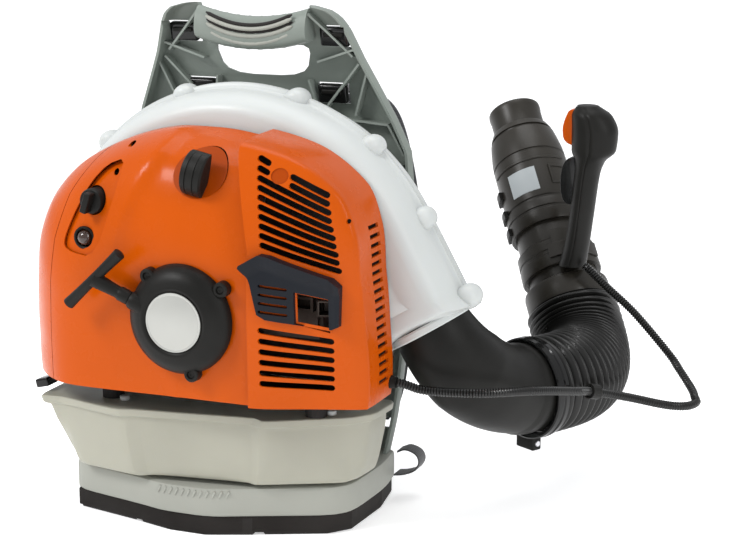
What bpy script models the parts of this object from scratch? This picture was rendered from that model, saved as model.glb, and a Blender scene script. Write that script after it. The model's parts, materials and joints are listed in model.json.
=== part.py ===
"""Backpack leaf blower, modelled piece by piece.

Metres, +Z up.  The origin is on the floor under the middle of the carrier.
+X is the operator's left-hand outlet side, -Y is the starter side and
+Y is the side that the operator's back rests on.
"""
import math

import bmesh
import bpy
from mathutils import Matrix, Vector

GAP = 0.0003                      # clearance between touching pieces

# --- driving dimensions -----------------------------------------------------
CRANK_X = 0.010                   # crank, fan and starter axis, parallel to Y
CRANK_Z = 0.228
PLATE_TOP = 0.513                 # overall height of the carrier
SOLE_TOP = 0.020                  # rubber soles
SHELF_TOP = 0.050                 # carrier shelf under the tank
TANK_FLOOR = 0.055
TANK_RIM = 0.125
COVER_FLOOR = 0.148               # lower edge of the engine covers
COVER_BACK = -0.0485              # rear edge of the engine covers
COVER_WALL = 0.0025
HOUSING_HALF = 0.046              # half of the fan housing's depth
HOUSING_WALL = 0.003
OUTLET = Vector((0.211, 0.0, 0.209))
OUTLET_AXIS = Vector((0.518, 0.0, -0.855)).normalized()
RING = Vector((0.284, 0.115, 0.122))          # end of the elbow
RING_AXIS = Vector((0.5, 0.866, 0.0)).normalized()
TUBE_BASE = Vector((0.279, 0.270, 0.170))     # end of the pleated hose
TUBE_TIP = Vector((0.168, 0.400, 0.367))
TUBE_AXIS = (TUBE_TIP - TUBE_BASE).normalized()
TUBE_LENGTH = (TUBE_TIP - TUBE_BASE).length
HOSE_RADIUS = 0.051
TUBE_RADIUS = 0.039
CYLINDER_BORE = 0.025             # radius
CAP_AXIS = Vector((-0.090, 0.0, 0.022)).normalized()
CAP_SEAT = Vector((-0.1772, -0.025, 0.1055))    # where the fuel cap's rim faces the tank
STROKE_HALF = 0.016
WEB_RADIUS = 0.026                # clears the piston and its pin at every turn of the crank

X_AXIS = Vector((1, 0, 0))
Y_AXIS = Vector((0, 1, 0))
Z_AXIS = Vector((0, 0, 1))

COLOURS = {
    "orange": ((0.90, 0.17, 0.01), 0.30, 0.0),
    "white": ((0.80, 0.82, 0.84), 0.35, 0.0),
    "grey": ((0.48, 0.53, 0.54), 0.45, 0.0),
    "cream": ((0.70, 0.69, 0.60), 0.45, 0.0),
    "black": ((0.02, 0.02, 0.02), 0.50, 0.0),
    "charcoal": ((0.035, 0.04, 0.055), 0.55, 0.0),
    "rubber": ((0.03, 0.025, 0.022), 0.80, 0.0),
    "badge": ((0.62, 0.63, 0.62), 0.40, 0.0),
    "smoke": ((0.10, 0.07, 0.05), 0.20, 0.0),
    "fabric": ((0.025, 0.025, 0.028), 0.90, 0.0),
    "steel": ((0.55, 0.55, 0.56), 0.30, 1.0),
    "alloy": ((0.60, 0.60, 0.60), 0.45, 1.0),
    "rope": ((0.55, 0.50, 0.42), 0.90, 0.0),
    "foam": ((0.12, 0.12, 0.12), 0.95, 0.0),
}


# --- helpers ----------------------------------------------------------------
def clear_scene():
    for obj in list(bpy.data.objects):
        bpy.data.objects.remove(obj, do_unlink=True)


def collection(name):
    found = bpy.data.collections.get(name)
    if found is None:
        found = bpy.data.collections.new(name)
        bpy.context.scene.collection.children.link(found)
    return found


def material(name):
    found = bpy.data.materials.get(name)
    if found is None:
        colour, rough, metal = COLOURS[name]
        found = bpy.data.materials.new(name)
        found.use_nodes = True
        shader = found.node_tree.nodes["Principled BSDF"]
        shader.inputs["Base Color"].default_value = (*colour, 1.0)
        shader.inputs["Roughness"].default_value = rough
        shader.inputs["Metallic"].default_value = metal
    return found


def link(obj, colour, smooth=35.0):
    """Put an object in the blower's collection with its material."""
    collection("backpack_leaf_blower").objects.link(obj)
    obj.data.materials.clear()
    obj.data.materials.append(material(colour))
    if obj.type == "MESH" and smooth:
        obj.data.shade_smooth()
        obj.data.set_sharp_from_angle(angle=math.radians(smooth))
    return obj


def from_bmesh(name, bm, colour, smooth=35.0):
    bmesh.ops.recalc_face_normals(bm, faces=bm.faces[:])
    mesh = bpy.data.meshes.new(name)
    bm.to_mesh(mesh)
    bm.free()
    return link(bpy.data.objects.new(name, mesh), colour, smooth)


def along(axis):
    """Rotation that turns +Z onto an axis."""
    return Z_AXIS.rotation_difference(Vector(axis)).to_matrix().to_4x4()


def frame_at(place, axis):
    return Matrix.Translation(Vector(place)) @ along(axis)


def add_box(bm, centre, size, turn=None):
    made = bmesh.ops.create_cube(bm, size=1.0)["verts"]
    bmesh.ops.scale(bm, vec=size, verts=made)
    if turn is not None:
        bmesh.ops.rotate(bm, cent=(0, 0, 0), matrix=turn, verts=made)
    bmesh.ops.translate(bm, vec=centre, verts=made)
    return made


def add_rod(bm, start, end, radius, sides=20, radius_end=None):
    start = Vector(start)
    end = Vector(end)
    span = end - start
    place = frame_at((start + end) / 2, span)
    bmesh.ops.create_cone(
        bm, cap_ends=True, segments=sides, radius1=radius,
        radius2=radius if radius_end is None else radius_end,
        depth=span.length, matrix=place)


def box(name, centre, size, colour, bevel=0.0, turn=None):
    bm = bmesh.new()
    add_box(bm, centre, size, turn)
    if bevel:
        bmesh.ops.bevel(bm, geom=bm.edges[:], offset=bevel, segments=2,
                        affect="EDGES", clamp_overlap=True)
    return from_bmesh(name, bm, colour)


def rod(name, start, end, radius, colour, sides=24):
    bm = bmesh.new()
    add_rod(bm, start, end, radius, sides)
    return from_bmesh(name, bm, colour)


def turned(name, profile, place, axis, colour, steps=32, closed=False):
    """Body of revolution: profile is (radius, height) down the outer side."""
    mesh = bpy.data.meshes.new(name)
    edges = [(i, i + 1) for i in range(len(profile) - 1)]
    if closed:
        edges.append((len(profile) - 1, 0))
    mesh.from_pydata([(r, 0.0, h) for r, h in profile], edges, [])
    obj = bpy.data.objects.new(name, mesh)
    link(obj, colour, smooth=0)
    obj.matrix_world = frame_at(place, axis)
    screw = obj.modifiers.new("turn", "SCREW")
    screw.steps = steps
    screw.render_steps = steps
    screw.use_merge_vertices = True
    screw.merge_threshold = 0.00001
    screw.use_smooth_shade = True
    return obj


def outline_solid(name, outline, thickness, place, colour, bevel=0.0):
    """Flat outline in local XY, extruded both ways along local Z."""
    curve = bpy.data.curves.new(name, "CURVE")
    curve.dimensions = "2D"
    curve.fill_mode = "BOTH"
    curve.extrude = thickness / 2
    spline = curve.splines.new("POLY")
    spline.points.add(len(outline) - 1)
    for point, (u, v) in zip(spline.points, outline):
        point.co = (u, v, 0.0, 1.0)
    spline.use_cyclic_u = True
    obj = link(bpy.data.objects.new(name, curve), colour)
    obj.matrix_world = place
    solid = to_mesh(obj)
    if bevel:
        edge = solid.modifiers.new("edge", "BEVEL")
        edge.width = bevel
        edge.segments = 1
        edge.limit_method = "ANGLE"
        edge.angle_limit = math.radians(50)
    return solid


def pipe(name, points, radius, colour, resolution=2, as_mesh=False):
    curve = bpy.data.curves.new(name, "CURVE")
    curve.dimensions = "3D"
    curve.bevel_depth = radius
    curve.bevel_resolution = resolution
    curve.use_fill_caps = True
    spline = curve.splines.new("POLY")
    spline.points.add(len(points) - 1)
    for point, place in zip(spline.points, points):
        point.co = (*place, 1.0)
    obj = link(bpy.data.objects.new(name, curve), colour)
    return to_mesh(obj) if as_mesh else obj


def to_mesh(obj):
    """Replace an object by the plain mesh that it shows."""
    bpy.context.view_layer.update()
    shown = obj.evaluated_get(bpy.context.evaluated_depsgraph_get())
    mesh = bpy.data.meshes.new_from_object(shown)
    name = obj.name
    place = obj.matrix_world.copy()
    colour = obj.data.materials[0].name
    bpy.data.objects.remove(obj, do_unlink=True)
    bm = bmesh.new()
    bm.from_mesh(mesh)
    bmesh.ops.remove_doubles(bm, verts=bm.verts[:], dist=0.000005)
    bmesh.ops.transform(bm, matrix=place, verts=bm.verts[:])
    bpy.data.meshes.remove(mesh)
    return from_bmesh(name, bm, colour)


def loft(name, rings, colour, loop=False, smooth=35.0):
    """Skin between closed rings with the same number of points."""
    bm = bmesh.new()
    rows = [[bm.verts.new(point) for point in ring] for ring in rings]
    count = len(rows[0])
    pairs = list(zip(rows, rows[1:]))
    if loop:
        pairs.append((rows[-1], rows[0]))
    for first, second in pairs:
        for i in range(count):
            j = (i + 1) % count
            bm.faces.new((first[i], first[j], second[j], second[i]))
    if not loop:
        bm.faces.new(rows[0])
        bm.faces.new(rows[-1])
    return from_bmesh(name, bm, colour, smooth)


def cutter(name, fill):
    """A hidden guide solid, built by fill(bmesh)."""
    bm = bmesh.new()
    fill(bm)
    bmesh.ops.recalc_face_normals(bm, faces=bm.faces[:])
    mesh = bpy.data.meshes.new(name)
    bm.to_mesh(mesh)
    bm.free()
    obj = bpy.data.objects.new(name, mesh)
    collection("cutters").objects.link(obj)
    obj.hide_render = True
    obj.display_type = "WIRE"
    return obj


def combine(obj, fill, operation, tag):
    step = obj.modifiers.new(tag, "BOOLEAN")
    step.operation = operation
    step.solver = "EXACT"
    step.use_self = True
    step.object = cutter(obj.name + "_" + tag, fill)
    return obj


def cut(obj, fill, tag="cut"):
    return combine(obj, fill, "DIFFERENCE", tag)


def keep(obj, fill, tag="keep"):
    return combine(obj, fill, "INTERSECT", tag)


def join(obj, fill, tag="join"):
    return combine(obj, fill, "UNION", tag)


def add_prism(bm, outline, y_low, y_high):
    """Outline in XZ, extruded along Y."""
    low = [bm.verts.new((x, y_low, z)) for x, z in outline]
    high = [bm.verts.new((x, y_high, z)) for x, z in outline]
    bm.faces.new(low)
    bm.faces.new(high)
    for i in range(len(outline)):
        j = (i + 1) % len(outline)
        bm.faces.new((low[i], low[j], high[j], high[i]))


def blend_keys(keys, x):
    """Straight-line value between sorted (x, value) keys."""
    for (x0, v0), (x1, v1) in zip(keys, keys[1:]):
        if x <= x1:
            return v0 + (v1 - v0) * (x - x0) / (x1 - x0)
    return keys[-1][1]


def bezier(start, lead, trail, end, count):
    points = []
    for i in range(count):
        t = i / (count - 1)
        points.append(start * (1 - t) ** 3 + lead * 3 * t * (1 - t) ** 2
                      + trail * 3 * t * t * (1 - t) + end * t ** 3)
    return points


def smooth_route(knots, spacing):
    """Catmull-Rom curve through knots, read off at even steps."""
    knots = [Vector(k) for k in knots]
    ends = [knots[0] * 2 - knots[1]] + knots + [knots[-1] * 2 - knots[-2]]
    fine = []
    for a, b, c, d in zip(ends, ends[1:], ends[2:], ends[3:]):
        for i in range(12):
            t = i / 12
            fine.append(0.5 * ((b * 2) + (c - a) * t
                               + (a * 2 - b * 5 + c * 4 - d) * t * t
                               + (b * 3 - a - c * 3 + d) * t ** 3))
    fine.append(knots[-1])
    total = sum((q - p).length for p, q in zip(fine, fine[1:]))
    count = max(2, round(total / spacing))
    wanted = [total * i / count for i in range(count + 1)]
    points = []
    walked = 0.0
    for p, q in zip(fine, fine[1:]):
        step = (q - p).length
        while len(points) < len(wanted) - 1 and wanted[len(points)] <= walked + step:
            points.append(p.lerp(q, (wanted[len(points)] - walked) / step))
        walked += step
    points.append(knots[-1])
    return points


def hoop(centre, axis, radius, sides, squash=1.0, up=Z_AXIS):
    """Ring of points round an axis."""
    axis = Vector(axis).normalized()
    side = up.cross(axis).normalized()
    top = axis.cross(side)
    turn = [2 * math.pi * i / sides for i in range(sides)]
    return [centre + side * radius * math.cos(a) + top * radius * squash * math.sin(a) for a in turn]


def swept_wall(name, path, axes, outer, inner, colour, sides=24):
    """Open-ended pipe wall with a changing outer and inner radius."""
    rings = [hoop(p, a, r, sides) for p, a, r in zip(path, axes, outer)]
    rings += [hoop(p, a, r, sides) for p, a, r in reversed(list(zip(path, axes, inner)))]
    return loft(name, rings, colour, loop=True)


# --- carrier ----------------------------------------------------------------
PLATE_WIDTH = [(0.045, 0.143), (0.15, 0.150), (0.30, 0.158), (0.364, 0.157), (0.40, 0.143),
               (0.46, 0.115), (0.50, 0.100), (PLATE_TOP, 0.086)]
PLATE_BACK = [(0.045, 0.072), (0.09, 0.092), (0.15, 0.104), (0.25, 0.108), (0.36, 0.098),
              (0.42, 0.085), (0.485, 0.065), (PLATE_TOP, 0.052)]
SHELF_OUTLINE = [(-0.146, -0.088), (-0.066, -0.106), (-0.030, -0.116), (0.020, -0.116),
                 (0.064, -0.096), (0.132, -0.066), (0.148, -0.046), (0.152, 0.030),
                 (0.144, 0.086), (-0.144, 0.086), (-0.152, 0.030), (-0.150, -0.060)]


def plate_section(z):
    """Tray-shaped section of the back plate at a height."""
    half = blend_keys(PLATE_WIDTH, z)
    back = blend_keys(PLATE_BACK, z)
    wall = 0.0035
    rim = 0.022
    outer = [(half, back - rim), (half, back - 0.006), (half - 0.006, back)]
    inner = [(half - wall, back - rim), (half - wall, back - 0.007), (half - 0.009, back - wall)]
    right = outer + [(-x, y) for x, y in reversed(outer)]
    left = [(-x, y) for x, y in inner] + list(reversed(inner))
    return [Vector((x, y, z)) for x, y in right + left]


def back_plate():
    levels = [0.045, 0.09, 0.15, 0.22, 0.30, 0.364, 0.40, 0.43, 0.46, 0.49, 0.505, PLATE_TOP]
    plate = loft("back_plate", [plate_section(z) for z in levels], "grey")

    def shelf(bm):
        low = [bm.verts.new((x, y, SOLE_TOP + GAP)) for x, y in SHELF_OUTLINE]
        high = [bm.verts.new((x, y, SHELF_TOP)) for x, y in SHELF_OUTLINE]
        bm.faces.new(low)
        bm.faces.new(high)
        for i in range(len(low)):
            j = (i + 1) % len(low)
            bm.faces.new((low[i], low[j], high[j], high[i]))

    def hollow(bm):
        inset = [(x * 0.95, y * 0.93 - 0.001) for x, y in SHELF_OUTLINE]
        low = [bm.verts.new((x, y, 0.0)) for x, y in inset]
        high = [bm.verts.new((x, y, SHELF_TOP - 0.006)) for x, y in inset]
        bm.faces.new(low)
        bm.faces.new(high)
        for i in range(len(low)):
            j = (i + 1) % len(low)
            bm.faces.new((low[i], low[j], high[j], high[i]))

    def grip(bm):
        rows = []
        for i in range(9):
            x = -0.062 + 0.0155 * i
            sag = 0.010 * (1 - (x / 0.062) ** 2)
            ring = [(0.036, 0.478), (0.034, 0.492), (0.040, 0.508), (0.052, 0.512),
                    (0.063, 0.500), (0.066, 0.484), (0.056, 0.476)]
            rows.append([bm.verts.new((x, y, z - sag)) for y, z in ring])
        for first, second in zip(rows, rows[1:]):
            for i in range(7):
                j = (i + 1) % 7
                bm.faces.new((first[i], first[j], second[j], second[i]))
        bm.faces.new(rows[0])
        bm.faces.new(rows[-1])

    def openings(bm):
        add_prism(bm, [(-0.046, 0.438), (0.046, 0.438), (0.056, 0.474), (0.0, 0.464),
                       (-0.056, 0.474)], 0.02, 0.11)
        add_prism(bm, [(-0.060, 0.503), (0.0, 0.4925), (0.060, 0.503), (0.064, 0.53),
                       (-0.064, 0.53)], 0.02, 0.11)
        for side in (-1, 1):
            for x, z in ((0.085, 0.482), (0.075, 0.422)):
                add_box(bm, (side * x, 0.07, z), (0.034, 0.08, 0.022))
            for z in (0.075, 0.17):
                add_box(bm, (side * 0.118, 0.1, z), (0.040, 0.06, 0.010))
    join(plate, shelf, "shelf")
    cut(plate, hollow, "hollow")
    cut(plate, openings, "openings")
    join(plate, grip, "grip")
    return plate


def soles():
    def sole(name, outline):
        return outline_solid(name, outline, SOLE_TOP, Matrix.Translation((0, 0, SOLE_TOP / 2)),
                             "rubber", 0.002)
    sole("left_sole", [(-0.143, -0.084), (-0.068, -0.101), (-0.068, -0.080), (-0.118, -0.066),
                       (-0.122, 0.078), (-0.140, 0.078), (-0.147, 0.030)])
    sole("right_sole", [(0.068, -0.090), (0.130, -0.062), (0.144, -0.044), (0.148, 0.030),
                        (0.140, 0.080), (0.120, 0.080), (0.124, 0.0), (0.120, -0.040),
                        (0.066, -0.070)])
    sole("front_sole", [(-0.062, -0.103), (-0.029, -0.112), (0.019, -0.112), (0.061, -0.095),
                        (0.056, -0.074), (0.012, -0.092), (-0.026, -0.092), (-0.060, -0.082)])
    rod("centre_foot", (0, 0, 0), (0, 0, SHELF_TOP - 0.006 - GAP), 0.018, "rubber", 24)


def fuel_tank():
    rim = [(-0.171, -0.113), (-0.146, -0.109), (-0.072, -0.128), (-0.055, -0.121), (0.064, -0.103),
           (0.079, -0.111), (0.153, -0.067), (0.170, -0.045), (0.173, 0.004), (0.136, 0.004),
           (0.130, -0.052), (-0.136, -0.052), (-0.142, 0.004), (-0.172, 0.004)]
    floor = [(-0.136, -0.092), (-0.130, -0.107), (-0.059, -0.122), (-0.045, -0.113), (0.060, -0.099),
             (0.070, -0.103), (0.148, -0.062), (0.155, -0.045), (0.158, -0.008), (0.130, -0.008),
             (0.124, -0.054), (-0.128, -0.054), (-0.130, -0.008), (-0.138, -0.008)]

    def level(share, z, grow):
        ring = []
        for (x0, y0), (x1, y1) in zip(floor, rim):
            x = x0 + (x1 - x0) * share
            y = y0 + (y1 - y0) * share
            out = Vector((x, y + 0.06)).normalized() * grow
            ring.append(Vector((x + out.x, min(y + out.y, 0.008) if y > -0.04 else y + out.y, z)))
        return ring

    tank = loft("fuel_tank", [level(0.0, TANK_FLOOR, -0.003), level(0.03, TANK_FLOOR + 0.004, 0.0),
                              level(0.85, TANK_RIM - 0.007, -0.005),
                              level(0.95, TANK_RIM - 0.0065, 0.0), level(1.0, TANK_RIM - 0.001, 0.0),
                              level(1.0, TANK_RIM, -0.002)], "cream")

    def cavity(bm):
        add_prism(bm, [(-0.118, 0.061), (0.118, 0.061), (0.120, 0.114), (-0.124, 0.114)],
                  -0.098, -0.060)
        add_rod(bm, CAP_SEAT - CAP_AXIS * 0.0265, CAP_SEAT + CAP_AXIS * 0.02, 0.016, 16)

    def channel(bm):
        add_rod(bm, CAP_SEAT - CAP_AXIS * 0.0240, (-0.149, -0.078, 0.104), 0.0040, 10)

    def throat(bm):
        add_rod(bm, (-0.1515, -0.0775, 0.104), (-0.112, -0.080, 0.100), 0.0045, 10)
    cut(tank, cavity, "cavity")
    cut(tank, channel, "channel")
    cut(tank, throat, "throat")
    return tank


def fuel_cap():
    """Screw cap on the side of the tank's left horn."""
    turned("fuel_cap", [(0, 0.010), (0.018, 0.010), (0.020, 0.008), (0.020, 0.0), (0.0150, 0.0),
                        (0.0150, -0.022), (0, -0.022)], CAP_SEAT, CAP_AXIS, "black", 24)


def isolators():
    """Rubber mounts between the carrier and the engine unit."""
    spots = {"front_left": (-0.098, -0.088), "front_right": (0.120, -0.074)}
    for name, (x, y) in spots.items():
        rod("isolator_" + name, (x, y, TANK_RIM + GAP), (x, y, 0.1495), 0.011, "rubber", 16)


# --- fan unit ---------------------------------------------------------------
SCROLL = [(-17, 0.164), (-45, 0.152), (-90, 0.154), (-135, 0.166), (-180, 0.190), (-223, 0.2075),
          (-252, 0.206), (-287, 0.206), (-312, 0.209), (-336, 0.213), (-357, 0.236), (-358.5, 0.248)]
BOSSES = [(-223.4, 0.208), (-252, 0.205), (-287, 0.205), (-312.3, 0.208), (-336, 0.212),
          (-357, 0.242), (-180, 0.192), (-135, 0.168), (-60, 0.155)]


def scroll_angles():
    count = 28
    return [SCROLL[0][0] + (SCROLL[-1][0] - SCROLL[0][0]) * i / count for i in range(count + 1)]


def scroll_point(angle, radius, y):
    turn = math.radians(angle)
    return Vector((CRANK_X + radius * math.cos(turn), y, CRANK_Z + radius * math.sin(turn)))


def scroll_radius(angle):
    keys = [(-a, r) for a, r in SCROLL]
    return blend_keys(keys, -angle)


def housing_half(name, side, hub):
    """Half of the volute; side is -1 for the front and +1 for the rear."""
    wall = HOUSING_WALL
    deep = HOUSING_HALF
    rings = []
    for angle in scroll_angles():
        r = scroll_radius(angle)
        shape = [(r + 0.005, GAP / 2), (r + 0.005, 0.004), (r, 0.0045), (r * 0.995, 0.020),
                 (r * 0.965, 0.036), (r * 0.91, deep), (hub, deep), (hub, deep - wall),
                 (r * 0.91 - 0.002, deep - wall), (r * 0.965 - wall, 0.034),
                 (r * 0.995 - wall, 0.019), (r - wall, GAP / 2)]
        rings.append([scroll_point(angle, rad, side * y) for rad, y in shape])
    half = loft(name, rings, "white", loop=True)

    def bosses(bm):
        for angle, r in BOSSES:
            a = scroll_point(angle, r, side * 0.0007)
            b = scroll_point(angle, r, side * 0.011)
            add_rod(bm, a, b, 0.0095, 12, 0.0075)

    def mouth(bm):
        add_rod(bm, OUTLET - OUTLET_AXIS * 0.035, OUTLET + OUTLET_AXIS * 0.03, 0.0406, 24)
    join(half, bosses, "bosses")
    cut(half, mouth, "mouth")
    return half


def impeller():
    wheel = turned("fan_impeller",
                   [(0.0, 0.022), (0.016, 0.022), (0.020, 0.004), (0.130, 0.004), (0.130, 0.0),
                    (0.0, 0.0)], (CRANK_X, -0.024, CRANK_Z), Y_AXIS, "black", 24)

    def blades(bm):
        for i in range(12):
            turn = Matrix.Rotation(2 * math.pi * i / 12, 3, "Y")
            lean = Matrix.Rotation(math.radians(25), 3, "Y")
            made = add_box(bm, (0, 0, 0), (0.003, 0.048, 0.062))
            bmesh.ops.rotate(bm, cent=(0, 0, 0), matrix=lean, verts=made)
            bmesh.ops.translate(bm, vec=(0, 0.0035, 0.092), verts=made)
            bmesh.ops.rotate(bm, cent=(0, 0, 0), matrix=turn, verts=made)
            bmesh.ops.translate(bm, vec=(CRANK_X, 0, CRANK_Z), verts=made)
    join(wheel, blades, "blades")
    return wheel


def inlet_screen():
    """Grille over the air inlet at the back of the housing."""
    y = HOUSING_HALF + 0.0003
    screen = turned("inlet_screen", [(0.078, 0.004), (0.080, 0.0), (0.060, 0.0), (0.060, 0.004)],
                    (CRANK_X, y, CRANK_Z), Y_AXIS, "black", 24, closed=True)

    def bars(bm):
        for i in range(-5, 6):
            half = math.sqrt(0.062 ** 2 - (i * 0.0105) ** 2)
            add_box(bm, (CRANK_X, y + 0.002, CRANK_Z + i * 0.0105), (2 * half, 0.003, 0.0028))
        add_box(bm, (CRANK_X, y + 0.002, CRANK_Z), (0.004, 0.0032, 0.122))
    join(screen, bars, "bars")
    return screen


def swept_frames(path, start_axis, end_axis):
    axes = [start_axis]
    for before, after in zip(path, path[2:]):
        axes.append((after - before).normalized())
    axes.append(end_axis)
    return axes


def elbow():
    start = OUTLET + OUTLET_AXIS * (-0.004)
    count = 11
    path = bezier(start, start + OUTLET_AXIS * 0.062, RING - RING_AXIS * 0.058, RING, count)
    axes = swept_frames(path, OUTLET_AXIS, RING_AXIS)
    outer = [0.0390 + 0.0070 * min(1.0, i / 4) for i in range(count)]
    inner = [r - 0.003 for r in outer]
    return swept_wall("outlet_elbow", path, axes, outer, inner, "black", 20)


def ring_clamp():
    """Clamp on the elbow's end, with a lug below and a cable clip at its side."""
    clamp = turned("hose_clamp", [(0.0530, 0.007), (0.0535, -0.007), (0.0482, -0.007),
                                  (0.0482, 0.007)], RING - RING_AXIS * 0.006, RING_AXIS,
                   "black", 32, closed=True)

    def lug(bm):
        add_box(bm, RING - RING_AXIS * 0.006 + Vector((0, 0, -0.058)), (0.026, 0.012, 0.016),
                Matrix.Rotation(math.atan2(RING_AXIS.y, RING_AXIS.x) - math.pi / 2, 3, "Z"))
    join(clamp, lug, "lug")
    return clamp


HOSE_LEAD = 0.080
HOSE_START = RING + RING_AXIS * 0.0015
HOSE_END = TUBE_BASE - TUBE_AXIS * 0.0005


def hose_path(count):
    return bezier(HOSE_START, HOSE_START + RING_AXIS * HOSE_LEAD, HOSE_END - TUBE_AXIS * HOSE_LEAD,
                  HOSE_END, count)


def pleated_hose():
    """The pleated hose in two lengths, one either side of its middle."""
    path = hose_path(29)
    axes = swept_frames(path, RING_AXIS, TUBE_AXIS)
    outer = [HOSE_RADIUS if i % 2 else HOSE_RADIUS - 0.005 for i in range(29)]
    inner = [r - 0.003 for r in outer]
    lower = slice(0, 15)
    upper = slice(14, 29)
    swept_wall("hose_lower", path[lower], axes[lower], outer[lower], inner[lower], "black", 16)
    middle = path[14] + axes[14] * GAP
    upper_path = [middle] + path[15:]
    swept_wall("hose_upper", upper_path, axes[upper], outer[upper], inner[upper], "black", 16)


# --- blower tube and control handle -----------------------------------------
def on_tube(s):
    return TUBE_BASE + TUBE_AXIS * s


def blower_tube():
    profile = [(0.0300, TUBE_LENGTH), (0.0300, 0.222), (0.0345, 0.205), (TUBE_RADIUS, 0.190),
               (TUBE_RADIUS, 0.024), (0.0475, 0.022), (0.0475, 0.0), (0.0360, 0.0),
               (0.0360, 0.188), (0.0315, 0.204), (0.0275, 0.220), (0.0275, TUBE_LENGTH)]
    return turned("blower_tube", profile, TUBE_BASE, TUBE_AXIS, "black", 24, closed=True)


def tube_sleeve():
    """Silencer sleeve clipped over the tube."""
    fit = TUBE_RADIUS + GAP
    profile = [(0.0325, 0.232), (0.0375, 0.220), (0.0420, 0.196), (0.0425, 0.125), (0.0440, 0.120),
               (0.0440, 0.094), (fit, 0.094), (fit, 0.1905), (0.0348, 0.2055), (0.0303, 0.2225),
               (0.0303, 0.232)]
    return turned("tube_sleeve", profile, TUBE_BASE, TUBE_AXIS, "black", 24, closed=True)


def handle_collar():
    """Split collar that clamps the control handle to the tube."""
    fit = TUBE_RADIUS + GAP
    return turned("handle_collar", [(0.0435, 0.018), (0.0445, -0.014), (fit, -0.014),
                                    (fit, 0.018)], on_tube(0.052), TUBE_AXIS, "black", 24,
                  closed=True)


HANDLE_FOOT = Vector((0.284, 0.252, 0.224))
HANDLE_PATH = [(HANDLE_FOOT, 0.0150, 0.0170), (Vector((0.289, 0.249, 0.245)), 0.0135, 0.0160),
               (Vector((0.294, 0.248, 0.280)), 0.0130, 0.0165),
               (Vector((0.299, 0.248, 0.325)), 0.0135, 0.0175),
               (Vector((0.302, 0.247, 0.340)), 0.0160, 0.0190),
               (Vector((0.306, 0.246, 0.352)), 0.0240, 0.0215),
               (Vector((0.307, 0.246, 0.372)), 0.0250, 0.0225),
               (Vector((0.303, 0.246, 0.390)), 0.0215, 0.0205),
               (Vector((0.298, 0.246, 0.399)), 0.0130, 0.0130)]


def control_handle():
    rings = []
    for centre, half_x, half_y in HANDLE_PATH:
        ring = []
        for i in range(16):
            a = 2 * math.pi * i / 16
            ring.append(centre + Vector((half_x * math.cos(a), half_y * math.sin(a), 0)))
        rings.append(ring)
    grip = loft("control_handle", rings, "black")

    def slots(bm):
        add_box(bm, (0.2755, 0.246, 0.3735), (0.037, 0.015, 0.053))
        add_box(bm, (0.2840, 0.247, 0.3180), (0.036, 0.0118, 0.0570))
        add_rod(bm, on_tube(0.0), on_tube(0.12), 0.0448, 28)
    cut(grip, slots, "slots")
    return grip


def setting_lever():
    """Orange stop and throttle-hold lever at the head of the handle."""
    outline = [(0.0865, 0.3955), (0.0795, 0.3955), (0.0725, 0.376), (0.0735, 0.364), (0.0840, 0.357),
               (0.0865, 0.357)]
    shifted = [(0.2 + x, z) for x, z in outline]

    def solid(bm):
        add_prism(bm, shifted, 0.2390, 0.2530)
    bm = bmesh.new()
    solid(bm)
    return from_bmesh("setting_lever", bm, "orange")


def throttle_trigger():
    outline = [(0.2875, 0.3445), (0.2800, 0.3435), (0.2745, 0.3380), (0.2705, 0.3180),
               (0.2740, 0.2960), (0.2790, 0.2920), (0.2870, 0.2930)]
    bm = bmesh.new()
    add_prism(bm, outline, 0.2420, 0.2520)
    return from_bmesh("throttle_trigger", bm, "black")


CABLE_LOWER = [(0.1968, -0.0520, 0.1610), (0.2070, -0.0518, 0.1592), (0.2260, -0.0500, 0.1555),
               (0.2756, -0.0380, 0.1550), (0.3165, 0.0020, 0.1510), (0.3425, 0.0620, 0.1375),
               (0.3520, 0.0960, 0.1290), (0.3790, 0.1300, 0.1170), (0.4130, 0.1600, 0.1040),
               (0.4310, 0.1760, 0.1004), (0.4377, 0.1936, 0.1003), (0.4350, 0.1992, 0.1034)]
CABLE_UPPER = [(0.4342, 0.2008, 0.1044), (0.4315, 0.2064, 0.1075), (0.4245, 0.2140, 0.1140),
               (0.4125, 0.2220, 0.1262), (0.3985, 0.2300, 0.1405), (0.3600, 0.2330, 0.1800),
               (0.3280, 0.2350, 0.2060), (0.3070, 0.2375, 0.2230), (0.3015, 0.2365, 0.2275)]
CLIP_KNOT = 6


def throttle_cable():
    """Cable conduit from the shroud to the handle, in two lengths that meet in its loop."""
    pipe("throttle_cable_lower", smooth_route(CABLE_LOWER, 0.014), 0.0045, "black", 2)
    pipe("throttle_cable_upper", smooth_route(CABLE_UPPER, 0.014), 0.0045, "black", 2)
    bm = bmesh.new()
    add_rod(bm, (0.1868, -0.0520, 0.1610), (0.1955, -0.0520, 0.1610), 0.0070, 16, 0.0056)
    from_bmesh("cable_gland", bm, "black")


def cable_clip():
    """Clip that holds the cable to the hose cuff."""
    before, mid, after = (Vector(CABLE_LOWER[CLIP_KNOT + i]) for i in (-1, 0, 1))
    ahead = (after - before).normalized()
    clip = turned("cable_clip", [(0.0078, 0.006), (0.0078, -0.006), (0.0058, -0.006),
                                 (0.0058, 0.006)], mid, ahead, "black", 16, closed=True)
    return clip


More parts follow.
